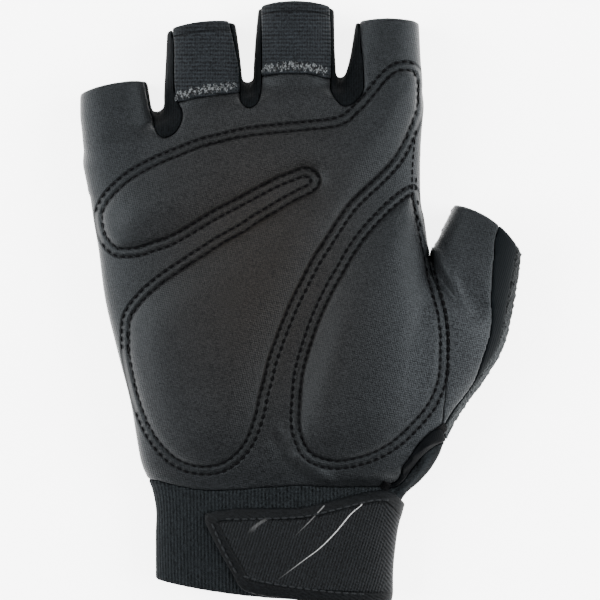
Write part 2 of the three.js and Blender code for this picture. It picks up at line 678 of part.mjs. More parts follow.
// The closure strap lies over the cuff
const strapOutline = smooth(STRAP_OUTLINE.map(strapPoint), STEPS.strap);
const strap = form(SEAT_GAP + STRAP_THICKNESS, false)
  .subtract(overPalm)
  .intersect(prism(strapOutline, STRAP_LOW, SKY))
  .subtract(bindingRegion);

function toGeometry(solid) {
  const mesh = solid.getMesh();
  const geometry = new THREE.BufferGeometry();
  geometry.setAttribute('position', new THREE.Float32BufferAttribute(mesh.vertProperties, 3));
  geometry.setIndex(new THREE.Uint32BufferAttribute(mesh.triVerts, 1));
  return geometry;
}

const outerMesh = new THREE.Mesh(toGeometry(outer), new THREE.MeshBasicMaterial());
const ray = new THREE.Raycaster();
function palmHeight(spot) {
  ray.set(new THREE.Vector3(spot.x, spot.y, SKY), new THREE.Vector3(0, 0, -1));
  return ray.intersectObject(outerMesh)[0].point.z;
}

function nearestOn(outline, spot) {
  let nearest = outline[0];
  outline.forEach((from, i) => {
    const line = outline[(i + 1) % outline.length].clone().sub(from);
    const share = THREE.MathUtils.clamp(spot.clone().sub(from).dot(line) / line.lengthSq(), 0, 1);
    const point = from.clone().add(line.multiplyScalar(share));
    if (point.distanceTo(spot) < nearest.distanceTo(spot)) nearest = point;
  });
  return nearest;
}

function isInside(outline, spot) {
  let inside = false;
  outline.forEach((a, i) => {
    const b = outline[(i + 1) % outline.length];
    const spans = (a.y > spot.y) !== (b.y > spot.y);
    if (spans && spot.x < mix(a.x, b.x, (spot.y - a.y) / (b.y - a.y))) inside = !inside;
  });
  return inside;
}

// A padded area: crowned over the palm, from a low edge along its stitched outline.
function pad(outline) {
  const box = new THREE.Box2().setFromPoints(outline).expandByScalar(PAD_CELL);
  const size = box.getSize(new THREE.Vector2());
  const columns = Math.ceil(size.x / PAD_CELL);
  const rows = Math.ceil(size.y / PAD_CELL);
  const block = new THREE.BoxGeometry(size.x, size.y, SKY, columns, rows, 1);
  const corners = block.attributes.position;
  const middle = box.getCenter(new THREE.Vector2());
  for (let i = 0; i < corners.count; i += 1) {
    const spot = new THREE.Vector2(corners.getX(i), corners.getY(i)).add(middle);
    let height = 0;
    if (corners.getZ(i) > 0) {
      const nearest = nearestOn(outline, spot);
      const inside = isInside(outline, spot);
      const depth = inside ? Math.min(nearest.distanceTo(spot) / PAD_SHOULDER, 1) : 0;
      const crown = mix(PAD_EDGE, PAD_HEIGHT, depth * (2 - depth));
      height = palmHeight(inside ? spot : nearest) + SEAT_GAP + crown;
    }
    corners.setXYZ(i, spot.x, spot.y, height);
  }
  return toManifold(block).intersect(prism(outline, BACK_SEAM_HEIGHT, SKY)).subtract(overPalm);
}

const palmPad = pad(smoothClosed(PALM_PAD.map(palmPoint), STEPS.palmPad));
const thumbPad = pad(smoothClosed(THUMB_PAD.map(palmPoint), STEPS.thumbPad));

const group = new THREE.Group();
function addPiece(name, solid, color, roughness) {
  const geometry = toGeometry(solid);
  geometry.computeVertexNormals();
  const material = new THREE.MeshStandardMaterial({ color, roughness, metalness: 0 });
  const piece = new THREE.Mesh(geometry, material);
  piece.name = name;
  group.add(piece);
}
addPiece('palm_panel', palmPanel, 0x3c3e40, 0.6);
addPiece('palm_pad', palmPad, 0x434547, 0.6);
addPiece('thumb_pad', thumbPad, 0x434547, 0.6);
addPiece('back_panel', backPanel, 0x1b1d1f, 0.9);
addPiece('cuff', cuff, 0x1d1f21, 0.9);
addPiece('thumb_panel', thumbPanel, 0x3c3e40, 0.6);
addPiece('thumb_side_strip', thumbSide, 0x1a1c1e, 0.7);
addPiece('thumb_back', thumbBack, 0x6c6e6e, 1);
WEBS.forEach((web, i) => addPiece(web.name, webs[i], 0x101214, 0.85));
TAB_EDGES.forEach((tab, i) => addPiece(tab.name, tabs[i], 0x2c3032, 0.8));
addPiece('slit_binding', binding, 0x141618, 0.7);
addPiece('closure_strap', strap, 0x1d1f21, 0.85);

export default group;
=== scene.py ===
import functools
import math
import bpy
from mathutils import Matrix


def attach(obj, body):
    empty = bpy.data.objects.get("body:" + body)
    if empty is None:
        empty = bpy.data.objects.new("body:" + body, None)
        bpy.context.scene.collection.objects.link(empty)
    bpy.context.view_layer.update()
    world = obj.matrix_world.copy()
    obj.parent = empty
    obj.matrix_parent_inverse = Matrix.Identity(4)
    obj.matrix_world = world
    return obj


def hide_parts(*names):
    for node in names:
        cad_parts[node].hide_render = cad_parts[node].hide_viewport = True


bl_info = {
    "name": "Cycling glove",
    "version": (1, 0, 0),
    "blender": (4, 5, 0),
    "location": "3D View > Sidebar > Glove",
    "description": "Builds the visible pieces of a fingerless cycling glove over its CAD frame",
    "category": "Add Mesh",
}

import bpy
import numpy as np

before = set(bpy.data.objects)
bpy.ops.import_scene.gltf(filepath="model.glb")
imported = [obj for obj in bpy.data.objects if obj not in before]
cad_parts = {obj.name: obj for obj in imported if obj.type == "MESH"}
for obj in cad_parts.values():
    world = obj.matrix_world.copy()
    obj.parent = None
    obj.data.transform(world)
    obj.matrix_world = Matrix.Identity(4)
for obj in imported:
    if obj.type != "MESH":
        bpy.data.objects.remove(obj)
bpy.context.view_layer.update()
BODY = "root"

# Lengths are in millimetres up to the moment a mesh is made.
METRE = 1000.0
PIXEL = 0.295
MIDDLE_PIXEL = 300
TRACE_HEIGHT = 16.0
SHARP_DEGREES = 50.0
TAB_RISE = 0.35
BINDING_RISE = 0.6
STRAP_SINK = 0.3
STRAP_BORDER = 3.5
# Places filled in for each traced point of an outline, of a section or fine line, and of a stitched line.
OUTLINE_STEPS = 3
TRACE_STEPS = 4
STITCH_STEPS = 6
# Rise of the seam to the back for each millimetre of depth in the wall.
BACK_LAP = 0.6
# Share of the usual rounding and gap at the thumb's steep seams, which would gape otherwise.
THUMB_SOFTNESS = 0.2

# Sections across the glove, traced on the photograph in its pixels from left to right.
# top, low and arch are in millimetres.
ROW_COLUMNS = ("left_x", "left_y", "right_x", "right_y", "top", "low", "power", "arch")
HAND_ROWS = (
    (154.5, 581, 387, 599, 17.4, 0, 2.5, -2.4),
    (154.5, 560, 387, 574, 17.9, 0, 2.5, -1.0),
    (154.5, 535, 389, 550, 18.4, 0, 2.5, 0),
    (155.0, 512, 394, 520, 18.9, 0, 2.5, 0),
    (151.5, 492, 405, 497, 19.4, 0, 2.5, 0),
    (147.0, 480, 420, 483, 20.4, 0, 2.6, 0),
    (140.5, 464, 434, 466, 22.2, 0, 2.7, 0),
    (136.0, 440, 444, 442, 23.8, 0, 2.8, 0),
    (129.5, 401, 442, 401, 25.2, 0, 2.9, 0),
    (117.0, 352, 438, 352, 25.8, 0, 3.0, 0),
    (104.5, 300, 434, 300, 25.8, 0, 3.0, 0),
    (98.0, 251, 429, 251, 25.2, 0, 3.0, 0),
    (92.5, 219, 425, 219, 24.4, 0, 3.0, 0),
    (88.5, 191, 421, 191, 23.4, 0, 3.0, 0),
    (82.0, 149, 422, 90, 19.0, 0, 2.8, 12.8),
)
LITTLE_ROWS = (
    (92.0, 186, 146, 184, 17.5, 1.0, 2.6, 0),
    (83.2, 155, 150, 152, 18.2, 0, 2.6, 0),
    (80.0, 128, 153, 122, 18.2, 0, 2.6, 0),
    (78.5, 114, 150, 105, 17.8, 0, 2.6, 0.5),
    (78.5, 93, 146, 80, 16.9, 0, 2.6, 1.0),
)
RING_ROWS = (
    (168, 154, 236, 156, 18.0, 1.0, 2.4, 0),
    (163, 106, 243, 104, 18.4, 0, 2.4, 0),
    (164.5, 62, 240, 58, 17.8, 0, 2.4, 0.6),
    (166, 30, 235, 21.5, 16.9, 0, 2.4, 0.9),
)
MIDDLE_ROWS = (
    (262, 138, 328, 138, 18.0, 1.0, 2.4, 0),
    (253.5, 86, 336, 86, 18.4, 0, 2.4, 0),
    (254.5, 45, 335, 45, 17.8, 0, 2.4, 0.8),
    (258, 6.5, 334.5, 7.5, 16.9, 0, 2.4, 1.5),
)
INDEX_ROWS = (
    (354, 146, 412, 146, 17.2, 1.0, 2.6, 0),
    (343, 92, 423, 94, 18.4, 0, 2.6, 0),
    (350.5, 55, 421.5, 55, 17.8, 0, 2.6, 0.5),
    (356, 21, 420, 21, 16.9, 0, 2.6, 0.9),
)
THUMB_ROWS = (
    (392, 440, 446, 441, 20.0, 0.8, 2.4, 0),
    (391, 414, 461, 414, 21.6, 0.6, 2.2, 0),
    (392, 380, 484, 382, 22.8, 0.4, 2.1, 0),
    (400, 337, 504, 349, 23.8, 0.4, 2.1, 0),
    (413, 296, 513.5, 312, 23.4, 0.5, 2.1, 0),
    (427, 262, 518, 286, 22.6, 0.9, 2.2, 0.4),
    (438, 240, 520.5, 270, 21.8, 1.4, 2.3, 1.2),
    (455, 204, 522.5, 254, 20.4, 2.4, 2.5, 2.6),
)
THUMB_TURN = 32.0

# Seams and edges, traced on the photograph in its pixels.
WRIST_SEAM = (
    (60, 474), (100, 476), (151, 480), (170, 484), (190, 488), (205, 490), (220, 490), (240, 489),
    (260, 487), (280, 486), (300, 485), (320, 486), (340, 487), (360, 487), (375, 487), (385, 485),
)
LEATHER_EDGE = (
    (385, 485), (392, 484), (398, 480), (401, 474), (402, 467), (408, 459), (416, 447), (425, 436),
    (434, 429), (441, 427),
)
SLIT_EDGE = (
    (385, 489), (396, 487), (404, 480), (411, 470), (420, 458), (430, 449), (438, 444), (446, 441),
)
THUMB_SEAM = (
    (441, 427), (444, 400), (446, 372), (447, 345), (444, 315), (437, 288), (431, 270), (430.5, 258),
    (431, 246), (431, 225), (431, 200),
)
THUMB_SIDE_SEAM = (
    (500, 214), (498, 229), (495, 236), (494, 245), (493, 258), (492, 275), (490.5, 300), (491, 315),
    (490, 332), (487, 343), (482, 360), (475, 380), (465, 395), (455, 408), (445, 424), (438, 440),
)
# Corners outside the glove that close each run of seams into an area.
FAR = 700
HAND_CORNERS = ((431, -FAR), (-FAR, -FAR), (-FAR, 474))
CUFF_CORNERS = ((FAR, 441), (FAR, FAR), (-FAR, FAR), (-FAR, 474))
THUMB_CORNERS = ((431, -FAR), (FAR, -FAR), (FAR, 440), (446, 440))
SIDE_CORNERS = ((FAR, 440), (FAR, -FAR), (500, -FAR))
WEB_LINES = {
    "little_ring": (
        (153, 40), (150, 100), (152, 112), (153, 122), (157, 133), (162, 138), (168, 138), (175, 134),
        (180, 127), (183, 118), (182, 110), (178, 102), (175, 90), (174, 70), (174, 45), (172, 28),
        (171, 5),
    ),
    "ring_middle": (
        (227, 0), (229, 22), (232, 35), (235, 50), (238, 65), (239, 78), (240, 97), (242, 104),
        (248, 109), (256, 106), (260, 98), (262, 80), (262, 40), (261, 8), (261, -15),
    ),
    "middle_index": (
        (330, -15), (330, 8), (331, 40), (331, 75), (330, 88), (334, 98), (340, 105), (346, 107),
        (355, 103), (361, 97), (364, 88), (364, 75), (363, 60), (361, 40), (360, 22), (358, 0),
    ),
}
SIDE_WALLS = {
    "little_ring": ((125, 10), (125, 118), (155, 118), (156, 10)),
    "ring_middle": ((215, -10), (215, 92), (248, 92), (248, -10)),
    "middle_index": ((305, -20), (305, 92), (340, 92), (341, -20)),
}
TAB_EDGES = {
    "ring": ((168, 105), (178, 103), (190, 100), (205, 97), (222, 95), (240, 92), (252, 90)),
    "middle": ((250, 77), (262, 76), (290, 74), (310, 75), (330, 79), (340, 81)),
}
ZIGZAG_SPANS = {"ring": (176, 239), "middle": (263, 330)}
STRAP_EDGE = (
    (440, 514), (412, 509), (402, 501), (394, 493), (384, 490), (370, 491), (350, 495), (330, 500),
    (310, 505), (290, 507), (250, 507), (230, 508), (215, 510), (208, 512), (205, 516), (206, 523),
    (212, 536), (222, 555), (232, 572), (238, 584), (244, 590), (256, 594), (275, 597), (300, 600),
    (340, 603), (440, 608),
)
PALM_PAD = (
    (421, 77), (412, 67), (403, 66), (393, 69), (383, 78), (373, 90), (362, 103), (352, 113), (345, 119),
    (335, 123), (320, 125), (300, 127), (280, 129), (260, 131), (240, 134), (220, 139), (200, 144),
    (180, 152), (160, 160), (140, 170), (125, 180), (112, 192), (104, 202), (99, 213), (99, 223),
    (102, 235), (108, 245), (117, 252), (127, 253), (140, 252), (155, 247), (170, 242), (185, 234),
    (200, 225), (215, 216), (230, 208), (245, 200), (260, 192), (275, 184), (290, 178), (303, 173),
    (312, 175), (316, 181), (312, 188), (300, 194), (285, 202), (270, 211), (255, 220), (240, 230),
    (220, 241), (200, 254), (180, 267), (160, 281), (145, 294), (133, 308), (127, 320), (126, 335),
    (126, 350), (128, 365), (131, 380), (136, 400), (143, 420), (152, 437), (163, 451), (176, 462),
    (190, 468), (205, 470), (220, 468), (233, 461), (245, 449), (252, 437), (257, 424), (261, 410),
    (264, 395), (268, 380), (273, 360), (280, 340), (287, 322), (295, 303), (307, 279), (317, 260),
    (328, 243), (342, 221), (352, 207), (366, 193), (380, 180), (394, 165), (404, 150), (411, 135),
    (417, 120), (421, 108),
)
THUMB_PAD = (
    (413, 190), (400, 197), (388, 207), (377, 218), (366, 230), (356, 243), (347, 257), (340, 270),
    (332, 283), (325, 297), (318, 312), (312, 327), (307, 342), (303, 355), (299, 370), (297, 385),
    (296, 400), (295, 415), (296, 430), (299, 440), (304, 450), (311, 457), (320, 461), (330, 463.5),
    (340, 464), (355, 461.5), (370, 457), (385, 450), (398, 441), (410, 430), (422, 417), (431, 405),
    (438, 390), (442, 375), (443, 355), (443, 335), (441, 315), (437, 298), (432, 280), (427, 255),
    (421, 225), (417, 205),
)
SIDE_STITCHES = (
    ((415, 138), (413, 160), (412, 180), (413, 200), (417, 215), (421, 228)),
    ((419, 146), (417, 168), (416, 190), (419, 207), (423, 221)),
)

STRAP_LINES = {
    "bright_line": ((275, 581), (300, 562), (320, 547), (335, 532), (345, 520), (352, 512), (362, 504)),
    "middle_line": ((290, 540), (300, 530), (310, 520), (324, 505)),
    "faint_line": ((248, 535), (256, 525), (268, 517)),
}
STRAP_STITCHES = (
    ((225, 518), (250, 518), (300, 516), (330, 510), (350, 505), (372, 500), (390, 500)),
    ((212, 522), (217, 534), (222, 545), (230, 561), (237, 573)),
    ((243, 575), (260, 580), (280, 584), (300, 587), (330, 591), (365, 594)),
)
BAR_TACKS = (((381, 483), (390, 488)), ((436, 432), (446, 425)))
# Half width across, strength, lower end, length of the fade there and upper end, lengths in millimetres.
STRAP_LINE_LOOKS = {
    "bright_line": (0.28, 0.42, -82.8, 12.0, -60.2),
    "middle_line": (0.30, 0.12, -70.5, 9.0, -60.6),
    "faint_line": (1.1, 0.04, -69.0, 3.0, -64.2),
}

# Folds and hollows: a line on the photograph, its half width and its height in millimetres.
FOLDS = (
    ((286, 430), (303, 466), 1.6, 1.2),
    ((297, 456), (336, 484), 1.8, 1.2),
    ((276, 440), (302, 476), 2.5, -0.8),
    ((392, 487), (318, 490), 2.6, -2.3),
    ((290, 420), (330, 300), 4.0, -1.0),
    ((430, 256), (451, 294), 1.3, -1.5),
    ((436, 254), (460, 298), 1.5, 0.9),
    ((432, 272), (462, 312), 1.2, -1.1),
    ((446, 262), (466, 300), 3.0, 0.5),
    ((464, 290), (482, 322), 3.6, -1.8),
    ((330, 130), (350, 175), 6.0, -0.5),
    ((412, 455), (434, 441), 1.0, 0.7),
    ((405, 474), (436, 446), 0.9, -1.0),
)


def length(name, description, default):
    """A length in metres, shown in the scene's units."""
    return bpy.props.FloatProperty(
        name=name, description=description, default=default, min=0.0, precision=5, unit="LENGTH"
    )


def colour(name, description, default):
    """A linear colour."""
    return bpy.props.FloatVectorProperty(
        name=name, description=description, default=default, size=3, min=0.0, max=1.0, subtype="COLOR"
    )


class GloveSizes(bpy.types.PropertyGroup):
    cell: length("Mesh cell", "Spacing of the vertices of the fabric pieces", 0.0006)
    wall: length("Wall", "Thickness of the leather and the knit", 0.0016)
    lip: length("Lip rounding", "How softly the wall ends at an opening", 0.0002)
    seam_gap: length("Seam gap", "Width of the gap between two sewn pieces", 0.00002)
    edge_round: length("Edge rounding", "How softly a piece turns in at its seams", 0.0004)
    back_seam: length("Back seam height", "Where the palm side meets the back panel", 0.007)
    side_seam: length("Side seam height", "Upper edge of the stretch side walls of the stalls", 0.012)
    web_slant: length("Web slant", "How far the palm side of the webs stands back", 0.007)
    pad_rise: length("Pad rise", "Height of the crowned padding over the palm", 0.0031)
    pad_shoulder: length("Pad shoulder", "Distance over which the padding rises", 0.0085)
    row_offset: length("Stitch row offset", "From each stitch row to the middle of its pair", 0.0012)
    stitch_pitch: length("Stitch pitch", "Distance from one stitch to the next", 0.0023)
    stitch_length: length("Stitch length", "Visible length of one stitch", 0.0017)
    thread_radius: length("Thread radius", "Half the thickness of the sewing thread", 0.00031)
    strap_thickness: length("Strap thickness", "Thickness of the closure strap", 0.0018)
    strap_low: length("Strap lower edge", "Height at which the strap ends on the cuff's side", 0.0035)
    camera_distance: length("Camera distance", "Height of the camera over the palm", 1.0)


class GloveColours(bpy.types.PropertyGroup):
    leather: colour("Leather", "Embossed palm leather", (0.0070, 0.0077, 0.0084))
    warm_leather: colour("Warm leather", "Leather in the middle of the palm", (0.0082, 0.0071, 0.0063))
    tab: colour("Pull tab", "Ribbed woven tape", (0.0070, 0.0084, 0.0098))
    knit: colour("Stretch knit", "Black stretch fabric of the webs", (0.0018, 0.0023, 0.0027))
    back: colour("Back knit", "Stretch fabric of the back of the hand", (0.0042, 0.0048, 0.0054))
    cuff: colour("Cuff knit", "Fine rib knit of the cuff", (0.0055, 0.0066, 0.0074))
    strap: colour("Strap", "Laminate of the closure strap", (0.0036, 0.0042, 0.0048))
    side: colour("Thumb side", "Smooth strip along the thumb", (0.0016, 0.0024, 0.0030))
    binding: colour("Binding", "Elastic binding beside the slit", (0.0012, 0.0015, 0.0019))
    towel: colour("Towelling", "Grey towelling of the thumb's back", (0.019, 0.021, 0.022))
    thread: colour("Sewing thread", "Black thread", (0.0015, 0.0015, 0.0018))
    strap_thread: colour("Strap thread", "Dark grey thread along the strap's border", (0.011, 0.012, 0.013))
    bright_thread: colour("Bright thread", "Light part of the zigzags' mottled thread", (0.10, 0.108, 0.113))
    reflective: colour("Reflective line", "Fine lines across the strap", (0.70, 0.71, 0.71))
    floor: colour("Floor", "Plain pale floor", (0.93, 0.93, 0.93))


def size(name):
    """A size of the panel, in millimetres."""
    return getattr(bpy.context.scene.glove_sizes, name) * METRE


def paint(name):
    """A colour of the panel, with an opaque alpha."""
    return (*getattr(bpy.context.scene.glove_colours, name), 1.0)


# Plan geometry

def plan(points):
    """Turn traced pixels into millimetres in the floor plan."""
    traced = np.asarray(points, dtype=float)
    return np.stack(((traced[:, 0] - MIDDLE_PIXEL) * PIXEL, (MIDDLE_PIXEL - traced[:, 1]) * PIXEL), axis=1)


def catmull(values, steps, closed=False):
    """Fill in rows of values along a Catmull-Rom spline."""
    values = np.asarray(values, dtype=float)
    count = len(values)
    spans = count if closed else count - 1
    filled = []
    for i in range(spans):
        around = []
        for k in (i - 1, i, i + 1, i + 2):
            around.append(values[k % count] if closed else values[min(max(k, 0), count - 1)])
        a, b, c, d = around
        for step in range(steps):
            t = step / steps
            bend = 2 * a - 5 * b + 4 * c - d + t * (3 * (b - c) + d - a)
            filled.append(b + 0.5 * t * (c - a + t * bend))
    if not closed:
        filled.append(values[-1])
    return np.array(filled)


def smoothstep(value, low, high):
    share = np.clip((value - low) / (high - low), 0.0, 1.0)
    return share * share * (3.0 - 2.0 * share)


def to_line(x, y, line, closed=False):
    """Distance from points to a line and the length along the line of the nearest place."""
    start = line if closed else line[:-1]
    end = np.roll(line, -1, axis=0) if closed else line[1:]
    spans = end - start
    lengths = np.hypot(spans[:, 0], spans[:, 1])
    before = np.concatenate(([0.0], np.cumsum(lengths)[:-1]))
    best = np.full(x.shape, np.inf)
    along = np.zeros(x.shape)
    for (ax, ay), (dx, dy), span, base in zip(start, spans, lengths, before):
        share = np.clip(((x - ax) * dx + (y - ay) * dy) / (span * span + 1e-12), 0.0, 1.0)
        away = np.hypot(x - ax - share * dx, y - ay - share * dy)
        closer = away < best
        best = np.where(closer, away, best)
        along = np.where(closer, base + share * span, along)
    return best, along


def within(x, y, outline):
    """Whether points lie inside a closed outline."""
    inside = np.zeros(x.shape, dtype=bool)
    for (ax, ay), (bx, by) in zip(outline, np.roll(outline, -1, axis=0)):
        if ay == by:
            continue
        spans = (ay > y) != (by > y)
        inside ^= spans & (x < ax + (bx - ax) * (y - ay) / (by - ay))
    return inside


def outside(x, y, outline):
    """Signed distance to a closed outline, negative inside it."""
    away, _ = to_line(x, y, outline, closed=True)
    return np.where(within(x, y, outline), -away, away)


def soft_min(a, b, radius):
    near = np.maximum(radius - np.abs(a - b), 0.0) / radius
    return np.minimum(a, b) - near * near * radius / 4.0


def soft_max(a, b, radius):
    return -soft_min(-a, -b, radius)


# The form of the glove as a signed distance on a regular grid

class Form:
    """Signed distances to the glove's outer form, sampled on a grid over its box."""

    BOX = ((-68.0, -92.0, -2.0), (68.0, 92.0, 32.0))
    REST_FLATTEN = 0.12
    STALL_BLEND = 4.0
    THUMB_BLEND = 2.5
    CROTCH_BLEND = 3.0
    END_ROUND = 0.8
    LEAST_SLOPE = 0.02
    DEEPEST = -14.0
    FARTHEST = 60.0
    FOLD_HEIGHTS = (8.0, 15.0)
    FOLD_TAPER = (-0.2, 0.4)
    PAD_HEIGHTS = (9.0, 16.0)
    BLUR_DEPTHS = (2.0, 6.0)
    BLUR_PASSES = 50
    ROUND_PART = 0.65

    def __init__(self, cell):
        low, high = (np.array(corner) for corner in self.BOX)
        self.cell = cell
        self.low = low
        self.counts = np.ceil((high - low) / cell).astype(int) + 1
        self.xs, self.ys, self.zs = (low[k] + cell * np.arange(self.counts[k]) for k in range(3))
        self.x, self.y = np.meshgrid(self.xs, self.ys, indexing="ij")
        self.z = self.zs[None, None, :]
        hands = self.tube(HAND_ROWS, slant=size("web_slant"))
        stalls = [self.tube(rows) for rows in (LITTLE_ROWS, RING_ROWS, MIDDLE_ROWS, INDEX_ROWS)]
        thumbs = self.tube(THUMB_ROWS, THUMB_TURN)
        lift = smoothstep(self.z, *self.FOLD_HEIGHTS) * self.fold_map()[:, :, None]
        under = (-self.z).astype(np.float32)
        joined = []
        for hand, *four, thumb in zip(hands, *stalls, thumbs):
            hand = soft_min(hand, functools.reduce(np.minimum, four), self.STALL_BLEND)
            joined.append(np.maximum(soft_min(hand, thumb, self.THUMB_BLEND) - lift, under))
        self.open, self.closed = joined
        self.palm_pad_line = catmull(plan(PALM_PAD), OUTLINE_STEPS, closed=True)
        self.thumb_pad_line = catmull(plan(THUMB_PAD), OUTLINE_STEPS, closed=True)
        self.palm_pad = outside(self.x, self.y, self.palm_pad_line)
        self.thumb_pad = outside(self.x, self.y, self.thumb_pad_line)
        sharp = self.pad_crown(-self.palm_pad) + self.pad_crown(-self.thumb_pad)
        deep = smoothstep(-np.minimum(self.palm_pad, self.thumb_pad), *self.BLUR_DEPTHS)
        crown = sharp * (1.0 - deep) + self.blurred(sharp) * deep
        self.padded = self.closed - smoothstep(self.z, *self.PAD_HEIGHTS) * crown[:, :, None]

    def tube(self, rows, turn=0.0, slant=0.0):
        """Distances to a tube through traced sections, running on past its open end and cut there."""
        table = {name: np.array([row[k] for row in rows]) for k, name in enumerate(ROW_COLUMNS)}
        left = plan(np.stack((table["left_x"], table["left_y"]), axis=1))
        right = plan(np.stack((table["right_x"], table["right_y"]), axis=1))
        angle = math.radians(turn)
        turned = np.array(((math.cos(angle), -math.sin(angle)), (math.sin(angle), math.cos(angle))))
        columns = np.column_stack((
            left @ turned.T, right @ turned.T, table["top"], table["low"], table["power"], table["arch"],
        ))
        filled = catmull(columns, TRACE_STEPS)
        across = self.x * turned[0, 0] + self.y * turned[0, 1]
        ahead = self.x * turned[1, 0] + self.y * turned[1, 1]
        lines = []
        for lx, ly, rx, ry, _, _, _, arch in filled:
            share = (across - lx) / (rx - lx)
            bend = np.clip(2.0 * share - 1.0, -1.2, 1.2)
            lines.append(ly + share * (ry - ly) + arch * (1.0 - bend * bend))
        lines = np.array(lines)
        index = np.clip((lines <= ahead).sum(axis=0) - 1, 0, len(filled) - 2)
        before = np.take_along_axis(lines, index[None], axis=0)[0]
        after = np.take_along_axis(lines, index[None] + 1, axis=0)[0]
        share = np.clip((ahead - before) / np.maximum(after - before, 1e-6), 0.0, 1.0)
        here = filled[index] * (1.0 - share)[..., None] + filled[index + 1] * share[..., None]
        lx, _, rx, _, top, low, power, _ = (here[..., k] for k in range(len(ROW_COLUMNS)))
        u = np.abs(2.0 * (across - lx) / (rx - lx) - 1.0)
        rise = (top - low) * (1.0 + self.REST_FLATTEN) / 2.0
        v = np.abs((self.z - (top - rise)[..., None]) / rise[..., None])
        power = power[..., None]
        ring = (u[..., None] ** power + v ** power) ** (1.0 / power) - 1.0
        slopes = np.gradient(ring, self.cell)
        steep = np.sqrt(slopes[0] ** 2 + slopes[1] ** 2 + slopes[2] ** 2)
        body = np.clip(ring / np.maximum(steep, self.LEAST_SLOPE), self.DEEPEST, self.FARTHEST)
        body = np.maximum(body, low[..., None] - self.z)
        end = (ahead - lines[-1])[..., None]
        if slant:
            height = np.clip((self.z - low[..., None]) / (top - low)[..., None], 0.0, 1.2)
            body = soft_max(body, end + slant * height, self.CROTCH_BLEND)
            end = np.full_like(body, -self.FARTHEST)
        start = (lines[0] - ahead)[..., None]
        closed = soft_max(body, np.maximum(end, start), self.END_ROUND)
        reopened = body if slant else soft_max(body, start, self.END_ROUND)
        return reopened.astype(np.float32), closed.astype(np.float32)

    def fold_map(self):
        """Height that the folds and hollows add over each place of the plan."""
        lift = np.zeros(self.x.shape)
        for first, last, wide, high in FOLDS:
            line = plan((first, last))
            away, along = to_line(self.x, self.y, line)
            left = 1.0 - along / np.hypot(*(line[1] - line[0]))
            lift += high * np.exp(-(away / wide) ** 2) * smoothstep(left, *self.FOLD_TAPER)
        return lift

    def pad_crown(self, depth):
        """Height of the padding at a depth inside its stitched outline."""
        share = np.clip((depth - size("row_offset")) / size("pad_shoulder"), 0.0, 1.0)
        round_share = np.sqrt(np.clip(1.0 - (1.0 - share) ** 2, 0.0, 1.0))
        flat_part = 1.0 - self.ROUND_PART
        return size("pad_rise") * (self.ROUND_PART * round_share + flat_part * smoothstep(share, 0.0, 1.0))

    def blurred(self, values):
        """A plan map with its ridges rounded off."""
        for _ in range(self.BLUR_PASSES):
            for axis in (0, 1):
                values = (np.roll(values, 1, axis) + 2.0 * values + np.roll(values, -1, axis)) / 4.0
        return values

    def heights(self, field):
        """Height of the highest surface over each place of the plan."""
        inside = field < 0.0
        any_inside = inside.any(axis=2)
        top = self.counts[2] - 1 - np.argmax(inside[:, :, ::-1], axis=2)
        top = np.clip(top, 0, self.counts[2] - 2)
        below = np.take_along_axis(field, top[..., None], axis=2)[..., 0]
        above = np.take_along_axis(field, top[..., None] + 1, axis=2)[..., 0]
        share = np.clip(below / np.minimum(below - above, -1e-6), 0.0, 1.0)
        return np.where(any_inside, self.low[2] + self.cell * (top + share), 0.0)

    def sample(self, field, points):
        """Read a field between its grid points."""
        spots = np.clip((points - self.low) / self.cell, 0, self.counts - 1.001)
        corner = spots.astype(int)
        share = spots - corner
        total = np.zeros(len(points))
        for step in np.ndindex(2, 2, 2):
            weight = np.abs(1 - np.array(step) - share).prod(axis=1)
            total += weight * field[tuple((corner + step).T)]
        return total

    def at(self, values, x, y):
        """Read a plan map between its grid points."""
        i = np.clip((x - self.low[0]) / self.cell, 0, self.counts[0] - 1.001)
        j = np.clip((y - self.low[1]) / self.cell, 0, self.counts[1] - 1.001)
        i0 = i.astype(int)
        j0 = j.astype(int)
        a = i - i0
        b = j - j0
        lower = values[i0, j0] * (1 - a) + values[i0 + 1, j0] * a
        upper = values[i0, j0 + 1] * (1 - a) + values[i0 + 1, j0 + 1] * a
        return lower * (1 - b) + upper * b


@functools.lru_cache(maxsize=1)
def form():
    """The glove's form, worked out once."""
    return Form(size("cell"))


